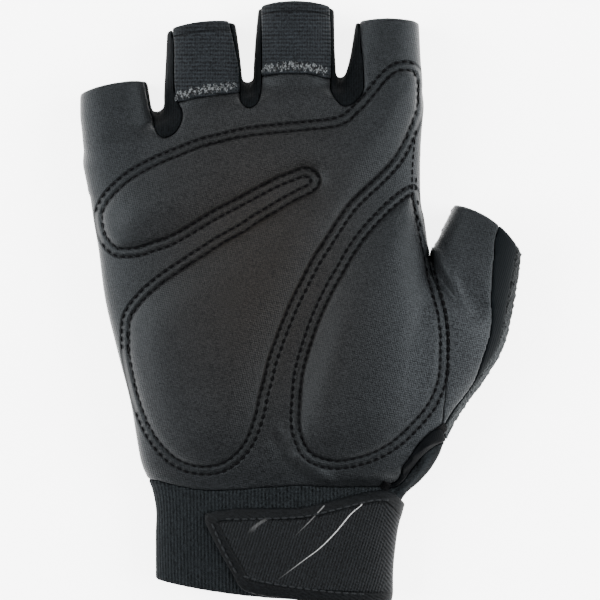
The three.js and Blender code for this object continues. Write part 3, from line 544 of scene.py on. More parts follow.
def nets(field, low, cell):
    """A surface net: one vertex in each cell that the surface crosses, four to a face."""
    field = np.pad(field, 1, constant_values=1.0)
    low = low - cell
    inside = field < 0.0
    counts = np.array(field.shape) - 1
    total = np.zeros(counts, dtype=np.int8)
    for a, b, c in np.ndindex(2, 2, 2):
        total += inside[a:a + counts[0], b:b + counts[1], c:c + counts[2]]
    mixed = (total > 0) & (total < 8)
    corner = np.argwhere(mixed)
    index = np.full(counts, -1, dtype=np.int64)
    index[mixed] = np.arange(len(corner))
    sums = np.zeros((len(corner), 3))
    hits = np.zeros(len(corner))
    for axis in range(3):
        others = [k for k in range(3) if k != axis]
        for step in np.ndindex(2, 2):
            start = corner.copy()
            start[:, others] += step
            end = start.copy()
            end[:, axis] += 1
            first = field[tuple(start.T)]
            second = field[tuple(end.T)]
            crossed = (first < 0.0) != (second < 0.0)
            share = np.where(crossed, first / np.where(crossed, first - second, 1.0), 0.0)
            spot = (start - corner).astype(float)
            spot[:, axis] = share
            sums += np.where(crossed[:, None], spot, 0.0)
            hits += crossed
    vertices = (corner + sums / hits[:, None]) * cell + low
    faces = []
    for axis in range(3):
        others = [k for k in range(3) if k != axis]
        first = [slice(1, -1)] * 3
        second = [slice(1, -1)] * 3
        first[axis] = slice(0, -1)
        second[axis] = slice(1, None)
        start = inside[tuple(first)]
        end = inside[tuple(second)]
        for outward in (True, False):
            edge = np.argwhere(start & ~end if outward else ~start & end)
            edge[:, others] += 1
            ring = []
            for step in ((0, 0), (-1, 0), (-1, -1), (0, -1)):
                around = edge.copy()
                around[:, others] += step
                ring.append(index[tuple(around.T)])
            if (axis == 1) == outward:
                ring.reverse()
            faces.append(np.stack(ring, axis=1))
    return vertices, np.concatenate(faces)


def make_object(name, vertices, faces, material, attributes=None):
    """A smooth-shaded mesh object from millimetres, riding on the glove."""
    mesh = bpy.data.meshes.new(name)
    vertices = np.asarray(vertices, dtype=np.float64) / METRE
    faces = np.asarray(faces, dtype=np.int32)
    corners = faces.shape[1]
    mesh.vertices.add(len(vertices))
    mesh.vertices.foreach_set("co", vertices.ravel())
    mesh.loops.add(faces.size)
    mesh.loops.foreach_set("vertex_index", faces.ravel())
    mesh.polygons.add(len(faces))
    mesh.polygons.foreach_set("loop_start", np.arange(0, faces.size, corners, dtype=np.int32))
    mesh.polygons.foreach_set("use_smooth", np.ones(len(faces), dtype=bool))
    for label, values in (attributes or {}).items():
        layer = mesh.attributes.new(label, "FLOAT", "POINT")
        layer.data.foreach_set("value", np.asarray(values, dtype=np.float32))
    mesh.update()
    mesh.validate()
    mesh.materials.append(material)
    piece = bpy.data.objects.new(name, mesh)
    bpy.context.scene.collection.objects.link(piece)
    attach(piece, BODY)
    return piece


# How near a seam a vertex lies that is moved to it, and how far it may move, in cells.
CREASE_NEAR = 0.7
CREASE_REACH = 1.2


def crease(vertices, surface, region):
    """Move the vertices near a seam onto the sharp edge where the surface meets the region's wall."""
    glove = form()
    step = glove.cell / 2.0
    values = []
    slopes = []
    for read in (
        lambda spots: glove.sample(surface, spots),
        lambda spots: glove.at(region, spots[:, 0], spots[:, 1]),
    ):
        values.append(read(vertices))
        slopes.append(np.stack([
            (read(vertices + axis) - read(vertices - axis)) / (2.0 * step) for axis in np.eye(3) * step
        ], axis=1))
    first, second = slopes
    aa = (first * first).sum(axis=1) + 1e-6
    bb = (second * second).sum(axis=1) + 1e-6
    ab = (first * second).sum(axis=1)
    whole = np.maximum(aa * bb - ab * ab, 0.05)
    p = (bb * values[0] - ab * values[1]) / whole
    q = (aa * values[1] - ab * values[0]) / whole
    shift = -(p[:, None] * first + q[:, None] * second)
    reach = np.linalg.norm(shift, axis=1)
    near = (np.abs(values) < CREASE_NEAR * glove.cell).all(axis=0) & (reach < CREASE_REACH * glove.cell)
    return np.where(near[:, None], vertices + shift, vertices)


def fabric(name, field, material, attributes=None, seam=None):
    """Mesh a piece of fabric from its distances, cropped to where it is, with a crisp edge at a seam."""
    glove = form()
    spots = np.argwhere(field < 0.0)
    low = np.maximum(spots.min(axis=0) - 2, 0)
    high = np.minimum(spots.max(axis=0) + 3, glove.counts)
    crop = field[low[0]:high[0], low[1]:high[1], low[2]:high[2]]
    vertices, faces = nets(crop, glove.low + low * glove.cell, glove.cell)
    if seam is not None:
        vertices = crease(vertices, *seam)
    values = attributes(vertices) if attributes else None
    piece = make_object(name, vertices, faces, material, values)
    if seam is not None:
        piece.data.set_sharp_from_angle(angle=math.radians(SHARP_DEGREES))
    return piece


def piece_of(surface, *regions, softness=1.0):
    """The wall under a surface inside every region, its outer edges turned in softly."""
    region = functools.reduce(np.maximum, regions) + softness * size("seam_gap") / 2.0
    cut = soft_max(surface, region, softness * size("edge_round"))
    return soft_max(cut, shells()["inside"], softness * size("lip"))


# Threads

# Rings along a stitch and corners round it, the distance over which the surface's slope is read, and
# the least upward part of the normal where a stitch is sewn.
STATIONS = 5
SIDES = 6
SLOPE_STEP = 0.8
LEAST_UPWARD = 0.4
END_THICKNESS = 0.6


def threads(name, rows, heights, material, radius, bow, sink=0.6):
    """Rows of stitches from starts to ends, lying on the surface with their ends sunk in."""
    starts, ends = (np.concatenate(points) for points in zip(*rows))
    shares = np.linspace(0.0, 1.0, STATIONS)
    centres = starts[:, None, :] * (1.0 - shares)[None, :, None] + ends[:, None, :] * shares[None, :, None]

    def height(right, ahead):
        return form().at(heights, centres[..., 0] + right, centres[..., 1] + ahead)

    z = height(0.0, 0.0)
    slope_x = (height(SLOPE_STEP, 0.0) - height(-SLOPE_STEP, 0.0)) / (2 * SLOPE_STEP)
    slope_y = (height(0.0, SLOPE_STEP) - height(0.0, -SLOPE_STEP)) / (2 * SLOPE_STEP)
    up = np.stack((-slope_x, -slope_y, np.ones_like(z)), axis=-1)
    up /= np.linalg.norm(up, axis=-1, keepdims=True)
    kept = (up[..., 2] > LEAST_UPWARD).all(axis=1) & (z > size("back_seam")).all(axis=1)
    centres, z, up = centres[kept], z[kept], up[kept]
    spine = np.concatenate((centres, z[..., None]), axis=-1)
    lift = radius * (-sink + (sink + bow) * np.sin(np.pi * shares) ** 0.7)
    spine = spine + up * lift[None, :, None]
    along = np.gradient(spine, axis=1)
    along /= np.linalg.norm(along, axis=-1, keepdims=True)
    side = np.cross(along, up)
    side /= np.linalg.norm(side, axis=-1, keepdims=True)
    over = np.cross(side, along)
    thick = radius * (END_THICKNESS + (1.0 - END_THICKNESS) * np.sin(np.pi * shares) ** 0.5)
    rings = []
    for k in range(SIDES):
        angle = 2.0 * math.pi * k / SIDES
        offset = math.cos(angle) * side + math.sin(angle) * over
        rings.append(spine + offset * thick[None, :, None])
    vertices = np.stack(rings, axis=2).reshape(-1, 3)
    ring = (np.arange(len(spine))[:, None] * STATIONS + np.arange(STATIONS - 1)).reshape(-1, 1) * SIDES
    here = np.arange(SIDES)
    after = (here + 1) % SIDES
    faces = np.stack([
        (ring + corner).ravel() for corner in (here, SIDES + here, SIDES + after, after)
    ], axis=1)
    make_object(name, vertices, faces, material)


def row_segments(line, closed=False):
    """Starts and ends of stitches spaced evenly along a line."""
    visible = size("stitch_length")
    points = np.concatenate((line, line[:1])) if closed else line
    steps = np.hypot(*np.diff(points, axis=0).T)
    reach = np.concatenate(([0.0], np.cumsum(steps)))
    count = max(int(round(reach[-1] / size("stitch_pitch"))), 1)
    pitch = reach[-1] / count
    middle = (np.arange(count) + 0.5) * pitch
    first = middle - visible / 2.0
    last = middle + visible / 2.0
    starts = np.stack([np.interp(first, reach, points[:, k]) for k in (0, 1)], axis=1)
    ends = np.stack([np.interp(last, reach, points[:, k]) for k in (0, 1)], axis=1)
    return starts, ends


def beside(line, distance, closed=False):
    """The line moved sideways, to its left where distance is positive."""
    if closed:
        along = np.roll(line, -1, axis=0) - np.roll(line, 1, axis=0)
    else:
        along = np.gradient(line, axis=0)
    along /= np.linalg.norm(along, axis=1, keepdims=True)
    return line + distance * np.stack((-along[:, 1], along[:, 0]), axis=1)


# Materials

class Socket:
    """An output of a shader node that takes part in arithmetic."""

    def __init__(self, shader, output):
        self.shader = shader
        self.output = output

    def __add__(self, other):
        return self.shader.math("ADD", self, other)

    def __sub__(self, other):
        return self.shader.math("SUBTRACT", self, other)

    def __mul__(self, other):
        return self.shader.math("MULTIPLY", self, other)

    def __rsub__(self, other):
        return self.shader.math("SUBTRACT", other, self)

    __radd__ = __add__
    __rmul__ = __mul__

    def clip(self):
        return self.shader.math("MINIMUM", self.shader.math("MAXIMUM", self, 0.0), 1.0)

    def ramp(self, low, high, first=0.0, last=1.0):
        """Smoothly from first at low to last at high."""
        return self.shader.add(
            "ShaderNodeMapRange", {"interpolation_type": "SMOOTHSTEP"},
            {"Value": self, "From Min": low, "From Max": high, "To Min": first, "To Max": last},
        )["Result"]

    def hump(self, middle, half):
        """One at the middle, falling to nothing at half its width away."""
        away = self.shader.math("ABSOLUTE", self - middle)
        return away.ramp(0.0, half, 1.0, 0.0)

    def wave(self, period):
        """A sine wave from -1 to 1 with this period."""
        return self.shader.math("SINE", self * (2.0 * math.pi / period))


class Shader:
    """A principled material whose node tree is written as arithmetic."""

    # Places of the colour sockets on Blender's mix node.
    MIX_SHARE = 0
    MIX_FIRST = 6
    MIX_LAST = 7
    MIX_RESULT = 2

    def __init__(self, name, **settings):
        self.material = bpy.data.materials.new(name)
        self.material.use_nodes = True
        self.nodes = self.material.node_tree.nodes
        self.links = self.material.node_tree.links
        self.surface = self.nodes["Principled BSDF"]
        for label, value in settings.items():
            self.surface.inputs[label.replace("_", " ").title().replace("Ior", "IOR")].default_value = value

    def add(self, kind, settings=None, inputs=None):
        """Add a node and return its outputs by name."""
        node = self.nodes.new(kind)
        for label, value in (settings or {}).items():
            setattr(node, label, value)
        for label, value in (inputs or {}).items():
            self.feed(node.inputs[label], value)
        return {output.name: Socket(self, output) for output in node.outputs}

    def feed(self, target, value):
        if isinstance(value, Socket):
            self.links.new(value.output, target)
        else:
            target.default_value = value

    def math(self, operation, *values):
        return self.add("ShaderNodeMath", {"operation": operation}, dict(enumerate(values)))["Value"]

    def mix(self, share, first, last):
        """A colour between two colours."""
        node = self.nodes.new("ShaderNodeMix")
        node.data_type = "RGBA"
        for k, value in ((self.MIX_SHARE, share), (self.MIX_FIRST, first), (self.MIX_LAST, last)):
            self.feed(node.inputs[k], value)
        return Socket(self, node.outputs[self.MIX_RESULT])

    def scaled(self, tone, factor):
        """A colour made lighter or darker by a factor."""
        return self.add(
            "ShaderNodeVectorMath", {"operation": "SCALE"}, {0: tone[:3], "Scale": factor},
        )["Vector"]

    def link(self, label, value):
        self.feed(self.surface.inputs[label], value)

    def attribute(self, name):
        return self.add("ShaderNodeAttribute", {"attribute_name": name})["Fac"]

    def place(self):
        """Object coordinates in millimetres: the vector and its three parts."""
        spot = self.add("ShaderNodeTexCoord")["Object"]
        spot = self.add("ShaderNodeVectorMath", {"operation": "SCALE"}, {0: spot, "Scale": METRE})["Vector"]
        parts = self.add("ShaderNodeSeparateXYZ", None, {"Vector": spot})
        return spot, parts["X"], parts["Y"], parts["Z"]

    def noise(self, spot, scale, detail=2.0, roughness=0.7):
        return self.add(
            "ShaderNodeTexNoise", None,
            {"Vector": spot, "Scale": scale, "Detail": detail, "Roughness": roughness},
        )["Fac"]

    def bump(self, height, strength=1.0):
        """Bend the normals by a height in millimetres."""
        normal = self.add(
            "ShaderNodeBump", None, {"Height": height, "Strength": strength, "Distance": 1.0 / METRE},
        )["Normal"]
        self.link("Normal", normal)


# The outlines that the leather is sewn along, the scale of the finest noise, and how noise turns into
# a speckle of tone. Widths, places and pitches are in millimetres.
PAD_LINES = ("palm_pad", "thumb_pad")
FINE_GRAIN = 1.8
SPECKLE = (0.3, 0.7, 0.4, 1.6)
EMBOSS_PITCHES = (1.05, 1.7)
GROOVE_WIDTH = 0.7
RIDGE_WIDTH = 0.8
# Painted sheen: where the leather is painted lighter towards the thumb and the wrist, standing in for the
# side light's sheen, and by how much.
PAINTED_SHEEN_RIGHT = (18.0, 44.0)
PAINTED_SHEEN_BELOW = (-12.0, 24.0)
PAINTED_SHEEN_SHARE = 1.1
WARM_X, WARM_HALF_WIDTH = -12.0, 46.0
WARM_Y, WARM_HALF_LENGTH = 10.0, 72.0


def leather(name):
    """Charcoal leather with a fine diagonal emboss and stitched grooves, painted lighter near the thumb as a
    painted sheen.
    """
    shader = Shader(name, specular_ior_level=0.075, specular_tint=(0.84, 0.94, 1.0, 1.0))
    spot, x, y, _ = shader.place()
    emboss = (x + y).wave(EMBOSS_PITCHES[0]) * (x - y).wave(EMBOSS_PITCHES[1])
    grain = shader.noise(spot, 1.7, 3.0, 0.8)
    patches = shader.noise(spot, 0.05, roughness=0.5)
    offset = size("row_offset")
    pads = [shader.attribute(line) for line in PAD_LINES]
    rows = [away.hump(-offset, GROOVE_WIDTH) + away.hump(offset, GROOVE_WIDTH) for away in pads]
    groove = rows[0] + rows[1]
    ridge = pads[0].hump(0.0, RIDGE_WIDTH) + pads[1].hump(0.0, RIDGE_WIDTH)
    # Painted sheen: lighter towards the thumb and the wrist.
    painted_sheen = x.ramp(*PAINTED_SHEEN_RIGHT) * y.ramp(*PAINTED_SHEEN_BELOW, 1.0, 0.0)
    speckle = grain.ramp(0.32, 0.68, 0.25, 1.5)
    # Darker in the stitched grooves: partly the dark thread, partly painted shade in the grooves.
    factor = (speckle + patches * 0.3) * (1.0 - groove.clip() * 0.5) + emboss * 0.3
    factor = factor * (1.0 + painted_sheen * PAINTED_SHEEN_SHARE)
    warmth = x.hump(WARM_X, WARM_HALF_WIDTH) * y.hump(WARM_Y, WARM_HALF_LENGTH)
    cool, warm = (shader.scaled(paint(name), factor) for name in ("leather", "warm_leather"))
    shader.link("Base Color", shader.mix(warmth, cool, warm))
    shader.link("Roughness", 0.36 + grain * 0.14 + groove.clip() * 0.2)
    shader.bump(emboss * 0.04 + grain * 0.16 - groove * 0.4 + ridge * 0.25, 0.8)
    return shader.material


def knit(name, tone, pitch, depth, attribute=None):
    """Stretch knit: fine ribs with small loops along them."""
    shader = Shader(name, roughness=0.85, specular_ior_level=0.03)
    spot, x, y, _ = shader.place()
    across = shader.attribute(attribute) if attribute else x
    ribs = across.wave(pitch)
    loops = (y + across * 0.35).wave(pitch * 0.62) * across.wave(pitch * 2.0)
    grain = shader.noise(spot, FINE_GRAIN)
    shader.link("Base Color", shader.scaled(tone, grain.ramp(*SPECKLE) + ribs * 0.35))
    shader.bump(ribs * depth + loops * depth * 0.6 + grain * 0.08, 0.8)
    return shader.material


HEM_LINE = 2.7
RIB_PITCH = 1.15
WEAVE_PITCH = 0.75


def tab_weave(name):
    """Ribbed woven tape with a darker hem at the stall's end."""
    shader = Shader(name, roughness=0.75, specular_ior_level=0.06)
    spot, x, y, _ = shader.place()
    ribs = y.wave(RIB_PITCH)
    weave = x.wave(WEAVE_PITCH)
    grain = shader.noise(spot, FINE_GRAIN)
    hem = shader.attribute("hem")
    hem_line = hem.hump(HEM_LINE, 0.45)
    factor = (grain.ramp(0.3, 0.7, 0.35, 1.6) + ribs * 0.3 + weave * 0.15) * (1.0 - hem_line * 0.5)
    factor = factor * hem.ramp(HEM_LINE - 0.3, HEM_LINE + 0.2, 0.82, 1.0)
    shader.link("Base Color", shader.scaled(paint("tab"), factor))
    shader.bump(ribs * 0.10 + weave * 0.04 + grain * 0.12 - hem_line * 0.4, 0.9)
    return shader.material


def towelling(name):
    """Looped grey towelling, lighter towards the wrist."""
    shader = Shader(name, roughness=0.95, specular_ior_level=0.1)
    spot, _, y, _ = shader.place()
    loops = shader.add("ShaderNodeTexVoronoi", None, {"Vector": spot, "Scale": 1.5})["Distance"]
    grain = shader.noise(spot, 1.2, 3.0)
    factor = (1.0 - loops * 0.5 + grain * 0.3) * y.ramp(-24.0, 8.0, 1.5, 0.6)
    shader.link("Base Color", shader.scaled(paint("towel"), factor))
    shader.bump(0.5 - loops * 0.6 + grain * 0.4, 1.0)
    return shader.material


def plain(name, tone, roughness):
    """A smooth fabric with a fine grain."""
    shader = Shader(name, roughness=roughness, specular_ior_level=0.025)
    spot, x, y, _ = shader.place()
    grain = shader.noise(spot, 2.4, 3.0, 0.6)
    fine = (x + y * 0.3).wave(0.6)
    shader.link("Base Color", shader.scaled(tone, 0.82 + grain * 0.35 + fine * 0.04))
    shader.bump(grain * 0.05 + fine * 0.02, 0.8)
    return shader.material


def mottled_thread(name):
    """Thread that changes between black and light grey along its length."""
    shader = Shader(name, roughness=0.6, specular_ior_level=0.1)
    spot, _, _, _ = shader.place()
    share = shader.noise(spot, 1.7).ramp(0.42, 0.64)
    shader.link("Base Color", shader.mix(share, paint("thread"), paint("bright_thread")))
    return shader.material


STEEP_PITCH = 0.85
FALLING_PITCH = 0.95
CROSS_PITCH = 0.9
FALLING_FROM = (22.0, 27.0)


def strap_cloth(name):
    """Black laminate with diagonal knit lines, a flat border and fine reflective lines."""
    shader = Shader(name, roughness=0.62, specular_ior_level=0.05)
    spot, x, y, _ = shader.place()
    edge = shader.attribute("edge")
    inner = edge.ramp(STRAP_BORDER - 0.5, STRAP_BORDER + 0.3)
    steep = (x * 0.95 - y * 0.3).wave(STEEP_PITCH)
    falling = (x * 0.8 + y * 0.6).wave(FALLING_PITCH)
    right = x.ramp(*FALLING_FROM)
    lines = steep * (1.0 - right) + falling * right
    cross = (x * 0.5 + y * 0.86).wave(CROSS_PITCH)
    grain = shader.noise(spot, FINE_GRAIN)
    groove = edge.hump(STRAP_BORDER, 0.5)
    factor = (grain.ramp(*SPECKLE) + lines * inner * 0.5) * (1.0 - groove * 0.4)
    base = shader.scaled(paint("strap"), factor * (0.7 + inner * 0.3))
    for label, (half, strength, low, fade, high) in STRAP_LINE_LOOKS.items():
        away = shader.math("ABSOLUTE", shader.attribute(label))
        ends = y.ramp(low, low + fade) * y.ramp(high, high + 0.4, 1.0, 0.0)
        line = away.ramp(half * 0.4, half, 1.0, 0.0) * ends
        base = shader.mix(line * strength * (0.75 + grain * 0.5), base, paint("reflective"))
    shader.link("Base Color", base)
    shader.bump(lines * inner * 0.09 + cross * 0.03 + grain * 0.08 - groove * 0.35, 0.9)
    return shader.material


# Regions of the plan, negative inside

@functools.lru_cache(maxsize=1)
def above_back_seam():
    """Height above the seam to the back, which rises inwards so that the back laps inside."""
    glove = form()
    depth = np.clip(-glove.closed, 0.0, 2.0 * size("wall"))
    return glove.z - size("back_seam") - BACK_LAP * depth


def square_to_wall(region):
    """A seam of the floor plan, cut square through the wall instead of straight down."""
    glove = form()
    cell = size("cell")
    depth = -np.clip(glove.closed, -2.0 * size("wall"), 0.0)
    across_x, across_y = np.gradient(region[:, :, 0], cell)
    tilt_x, tilt_y = np.gradient(glove.closed, cell, axis=(0, 1))
    return region + depth * (tilt_x * across_x[:, :, None] + tilt_y * across_y[:, :, None])


@functools.lru_cache(maxsize=1)
def regions():
    """The areas that the seams bound, as signed distances in the floor plan."""
    glove = form()

    def area(*lines):
        return outside(glove.x, glove.y, np.concatenate([
            catmull(plan(line), OUTLINE_STEPS) if len(line) > 4 else plan(line) for line in lines
        ]))[:, :, None]

    areas = {
        "hand": area(WRIST_SEAM, LEATHER_EDGE, THUMB_SEAM, HAND_CORNERS),
        "cuff": area(WRIST_SEAM, SLIT_EDGE, CUFF_CORNERS),
        "thumb": area(THUMB_SEAM, THUMB_CORNERS),
        "side": square_to_wall(area(THUMB_SIDE_SEAM, SIDE_CORNERS)),
        "strap": area(STRAP_EDGE),
    }
    areas["binding"] = -np.minimum(np.minimum(areas["hand"], areas["cuff"]), areas["thumb"])
    areas["webs"] = {}
    for name, line in WEB_LINES.items():
        wall = np.maximum(area(SIDE_WALLS[name]), glove.z - size("side_seam"))
        areas["webs"][name] = np.minimum(area(line), wall)
    areas["all_webs"] = functools.reduce(np.minimum, areas["webs"].values())
    areas["tabs"] = {}
    for name, line in TAB_EDGES.items():
        region = area(line, ((line[-1][0], -FAR), (line[0][0], -FAR)))
        areas["tabs"][name] = np.maximum(region, -areas["all_webs"])
    return areas


@functools.lru_cache(maxsize=1)
def shells():
    """The inside of the wall, and the heights of the padded surface."""
    glove = form()
    return {"inside": -(glove.open + size("wall")), "heights": glove.heights(glove.padded)}


def pad_attributes(vertices):
    """Signed distances to the two stitched outlines, positive inside."""
    glove = form()
    x, y = vertices[:, 0], vertices[:, 1]
    return {"palm_pad": -glove.at(glove.palm_pad, x, y), "thumb_pad": -glove.at(glove.thumb_pad, x, y)}


def strap_top():
    """Signed distances to the strap's outer face."""
    return form().open - STRAP_SINK - size("strap_thickness")


def stand_in(piece, node):
    """Hide the frame's solid that a piece stands for."""
    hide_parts(node)


class GloveOperator:
    """What the operators of the glove's pieces share."""

    bl_options = {"REGISTER", "UNDO"}

    def execute(self, context):
        self.build(form(), regions())
        return {"FINISHED"}


class GLOVE_OT_palm(GloveOperator, bpy.types.Operator):
    """Build the palm leather with the palm side of the little and index stalls"""

    bl_idname = "glove.palm"
    bl_label = "Palm leather"

    def build(self, glove, area):
        offset = size("row_offset")
        taken = np.minimum(area["all_webs"], np.minimum(area["tabs"]["ring"], area["tabs"]["middle"]))
        around = size("seam_gap") / 2.0 - offset - np.minimum(glove.palm_pad, glove.thumb_pad)
        surface = np.maximum(glove.padded, around[:, :, None])
        field = piece_of(surface, area["hand"], -taken, -above_back_seam())
        seam = (glove.padded, around)
        piece = fabric("palm_leather", field, leather("palm_leather"), pad_attributes, seam)
        stand_in(piece, "palm_panel")


class GLOVE_OT_pads(GloveOperator, bpy.types.Operator):
    """Build the two crowned pads"""

    bl_idname = "glove.pads"
    bl_label = "Pads"

    FILL = 0.6

    def build(self, glove, area):
        material = leather("pad_leather")
        for name, outline, node in (
            ("palm_cushion", glove.palm_pad, "palm_pad"),
            ("thumb_cushion", glove.thumb_pad, "thumb_pad"),
        ):
            region = outline + size("row_offset") + size("seam_gap") / 2.0
            surface = np.maximum(glove.padded, region[:, :, None])
            field = piece_of(surface, area["hand"], -above_back_seam())
            piece = fabric(name, field, material, pad_attributes, (glove.padded, region))
            stand_in(piece, node)


class GLOVE_OT_tabs(GloveOperator, bpy.types.Operator):
    """Build the ribbed pull tabs of the ring and middle stalls"""

    bl_idname = "glove.tabs"
    bl_label = "Pull tabs"

    def build(self, glove, area):
        material = tab_weave("tab_weave")
        for name, rows in (("ring", RING_ROWS), ("middle", MIDDLE_ROWS)):
            end = dict(zip(ROW_COLUMNS, rows[-1]))
            left, right = plan(((end["left_x"], end["left_y"]), (end["right_x"], end["right_y"])))

            def hem(vertices):
                share = (vertices[:, 0] - left[0]) / (right[0] - left[0])
                line = left[1] + share * (right[1] - left[1]) + end["arch"] * (1 - (2 * share - 1) ** 2)
                return {"hem": line - vertices[:, 1]}

            field = piece_of(glove.closed - TAB_RISE, area["tabs"][name], -above_back_seam())
            piece = fabric(name + "_tab", field, material, hem)
            stand_in(piece, name + "_pull_tab")


class GLOVE_OT_webs(GloveOperator, bpy.types.Operator):
    """Build the stretch strips between the stalls"""

    bl_idname = "glove.webs"
    bl_label = "Fourchettes"

    def build(self, glove, area):
        material = knit("stretch_knit", paint("knit"), 0.7, 0.03)
        for name, region in area["webs"].items():
            field = piece_of(glove.closed, region, -above_back_seam())
            piece = fabric(name + "_web", field, material)
            stand_in(piece, name + "_fourchette")


class GLOVE_OT_back(GloveOperator, bpy.types.Operator):
    """Build the back of the hand and of the four stalls"""

    bl_idname = "glove.back"
    bl_label = "Back panel"

    def build(self, glove, area):
        field = piece_of(glove.closed, np.minimum(area["hand"], area["binding"]), above_back_seam())
        piece = fabric("back_knit", field, knit("back_knit", paint("back"), 0.9, 0.06))
        stand_in(piece, "back_panel")


class GLOVE_OT_thumb(GloveOperator, bpy.types.Operator):
    """Build the thumb's leather, its smooth side strip and its towelling back"""

    bl_idname = "glove.thumb"
    bl_label = "Thumb"

    SEAM_HEIGHT = 10.5
    SEAM_RISE = 7.0
    RISE_SPAN = (2.0, 7.0)
    LOOP_HEIGHT = 0.3

    def build(self, glove, area):
        to_edge, _ = to_line(glove.x, glove.y, catmull(plan([row[2:4] for row in THUMB_ROWS]), TRACE_STEPS))
        near, far = self.RISE_SPAN
        seam = self.SEAM_HEIGHT + self.SEAM_RISE * smoothstep(-to_edge, -far, -near)
        towel = above_back_seam() + size("back_seam") - seam[:, :, None]
        looped = glove.closed - self.LOOP_HEIGHT * self.loops(glove)
        smooth = plain("smooth_stretch", paint("side"), 0.6)
        for name, node, slot, material, surface, limits, attributes in (
            ("thumb_leather", "thumb_panel", "palm_leather", leather("thumb_leather"), glove.closed,
             (-area["side"], -towel), pad_attributes),
            ("thumb_side", "thumb_side_strip", "smooth_stretch", smooth, glove.closed,
             (area["side"], -towel), None),
            ("thumb_towel", "thumb_back", "towelling", towelling("towelling"), looped, (towel,), None),
        ):
            field = piece_of(surface, area["thumb"], *limits, softness=THUMB_SOFTNESS)
            stand_in(fabric(name, field, material, attributes), node)

    @staticmethod
    def loops(glove):
        """Uneven bumps of a loop's size, about 2 mm apart."""
        x, y = glove.x, glove.y
        flat = np.sin(x * 3.1 + np.sin(y * 1.3)) * np.sin(y * 2.9 + np.sin(x * 1.1))
        return flat[:, :, None] + 0.6 * np.sin(glove.z * 3.0 + 2.0 * flat[:, :, None])


class GLOVE_OT_cuff(GloveOperator, bpy.types.Operator):
    """Build the knitted cuff and the binding beside its slit"""

    bl_idname = "glove.cuff"
    bl_label = "Cuff"

    MIDDLE = -7.5
    HALF_WIDTH = 34.5
    HALF_HEIGHT = 9.5
    POWER = 2.5

    def build(self, glove, area):
        field = piece_of(glove.closed, area["cuff"])
        material = knit("cuff_knit", paint("cuff"), 1.06, 0.09, attribute="around")
        stand_in(fabric("cuff_rib", field, material, self.around), "cuff")
        field = piece_of(glove.closed - BINDING_RISE, area["binding"], -above_back_seam())
        piece = fabric("slit_tape", field, plain("elastic_binding", paint("binding"), 0.7))
        stand_in(piece, "slit_binding")

    def around(self, vertices):
        """Length round the cuff from the middle of its back."""
        angles = np.linspace(-math.pi, math.pi, 361)
        waves = (np.sin(angles), np.cos(angles))
        right, up = (np.sign(wave) * np.abs(wave) ** (2.0 / self.POWER) for wave in waves)
        x = self.MIDDLE + self.HALF_WIDTH * right
        z = self.HALF_HEIGHT + self.HALF_HEIGHT * up
        _, along = to_line(vertices[:, 0], vertices[:, 2], np.stack((x, z), axis=1))
        return {"around": along}


class GLOVE_OT_strap(GloveOperator, bpy.types.Operator):
    """Build the closure strap over the cuff"""

    bl_idname = "glove.strap"
    bl_label = "Closure strap"

    BORDER_DIP = 0.5

    def build(self, glove, area):
        under = STRAP_SINK - glove.open
        border = 1.0 - smoothstep(-area["strap"], 0.0, STRAP_BORDER)
        over = strap_top() + self.BORDER_DIP * border
        limits = (area["strap"], -area["binding"], size("strap_low") - glove.z)
        region = functools.reduce(np.maximum, limits)
        field = soft_max(soft_max(over, region, size("edge_round")), under, size("edge_round"))
        piece = fabric("strap_cloth", field, strap_cloth("strap_laminate"), self.lines)
        stand_in(piece, "closure_strap")

    def lines(self, vertices):
        """Depth inside the strap's edge, and the distance across to each reflective line."""
        x, y = vertices[:, 0], vertices[:, 1]
        values = {"edge": -form().at(regions()["strap"][:, :, 0], x, y)}
        for name, trace in STRAP_LINES.items():
            line = catmull(plan(trace), TRACE_STEPS)
            values[name] = x - np.interp(y, line[:, 1], line[:, 0])
        return values


class GLOVE_OT_stitches(GloveOperator, bpy.types.Operator):
    """Sew the double rows round the pads and the rows beside the index stall"""

    bl_idname = "glove.stitches"
    bl_label = "Stitches"

    BOW = 0.1
    TACK_BOW = 1.0
    TACK_SHIFTS = np.arange(-1.0, 1.01, 0.4)

    def build(self, glove, area):
        heights = shells()["heights"]
        black = plain("sewing_thread", paint("thread"), 0.6)
        grey = plain("strap_thread", paint("strap_thread"), 0.6)
        offset = size("row_offset")
        radius = size("thread_radius")
        for name, line in (("palm_pad", glove.palm_pad_line), ("thumb_pad", glove.thumb_pad_line)):
            rows = [row_segments(beside(line, side, True), True) for side in (offset, -offset)]
            threads(name + "_stitches", rows, heights, black, radius, self.BOW)
        for name, lines, over, material in (
            ("side_stitches", SIDE_STITCHES, heights, black),
            ("strap_stitches", STRAP_STITCHES, glove.heights(strap_top()), grey),
        ):
            rows = [row_segments(catmull(plan(line), STITCH_STEPS)) for line in lines]
            threads(name, rows, over, material, radius, self.BOW)
        tacks = [beside(plan(line), shift) for line in BAR_TACKS for shift in self.TACK_SHIFTS]
        rows = [(line[:1], line[1:]) for line in tacks]
        threads("bar_tacks", rows, heights, black, radius, self.TACK_BOW)


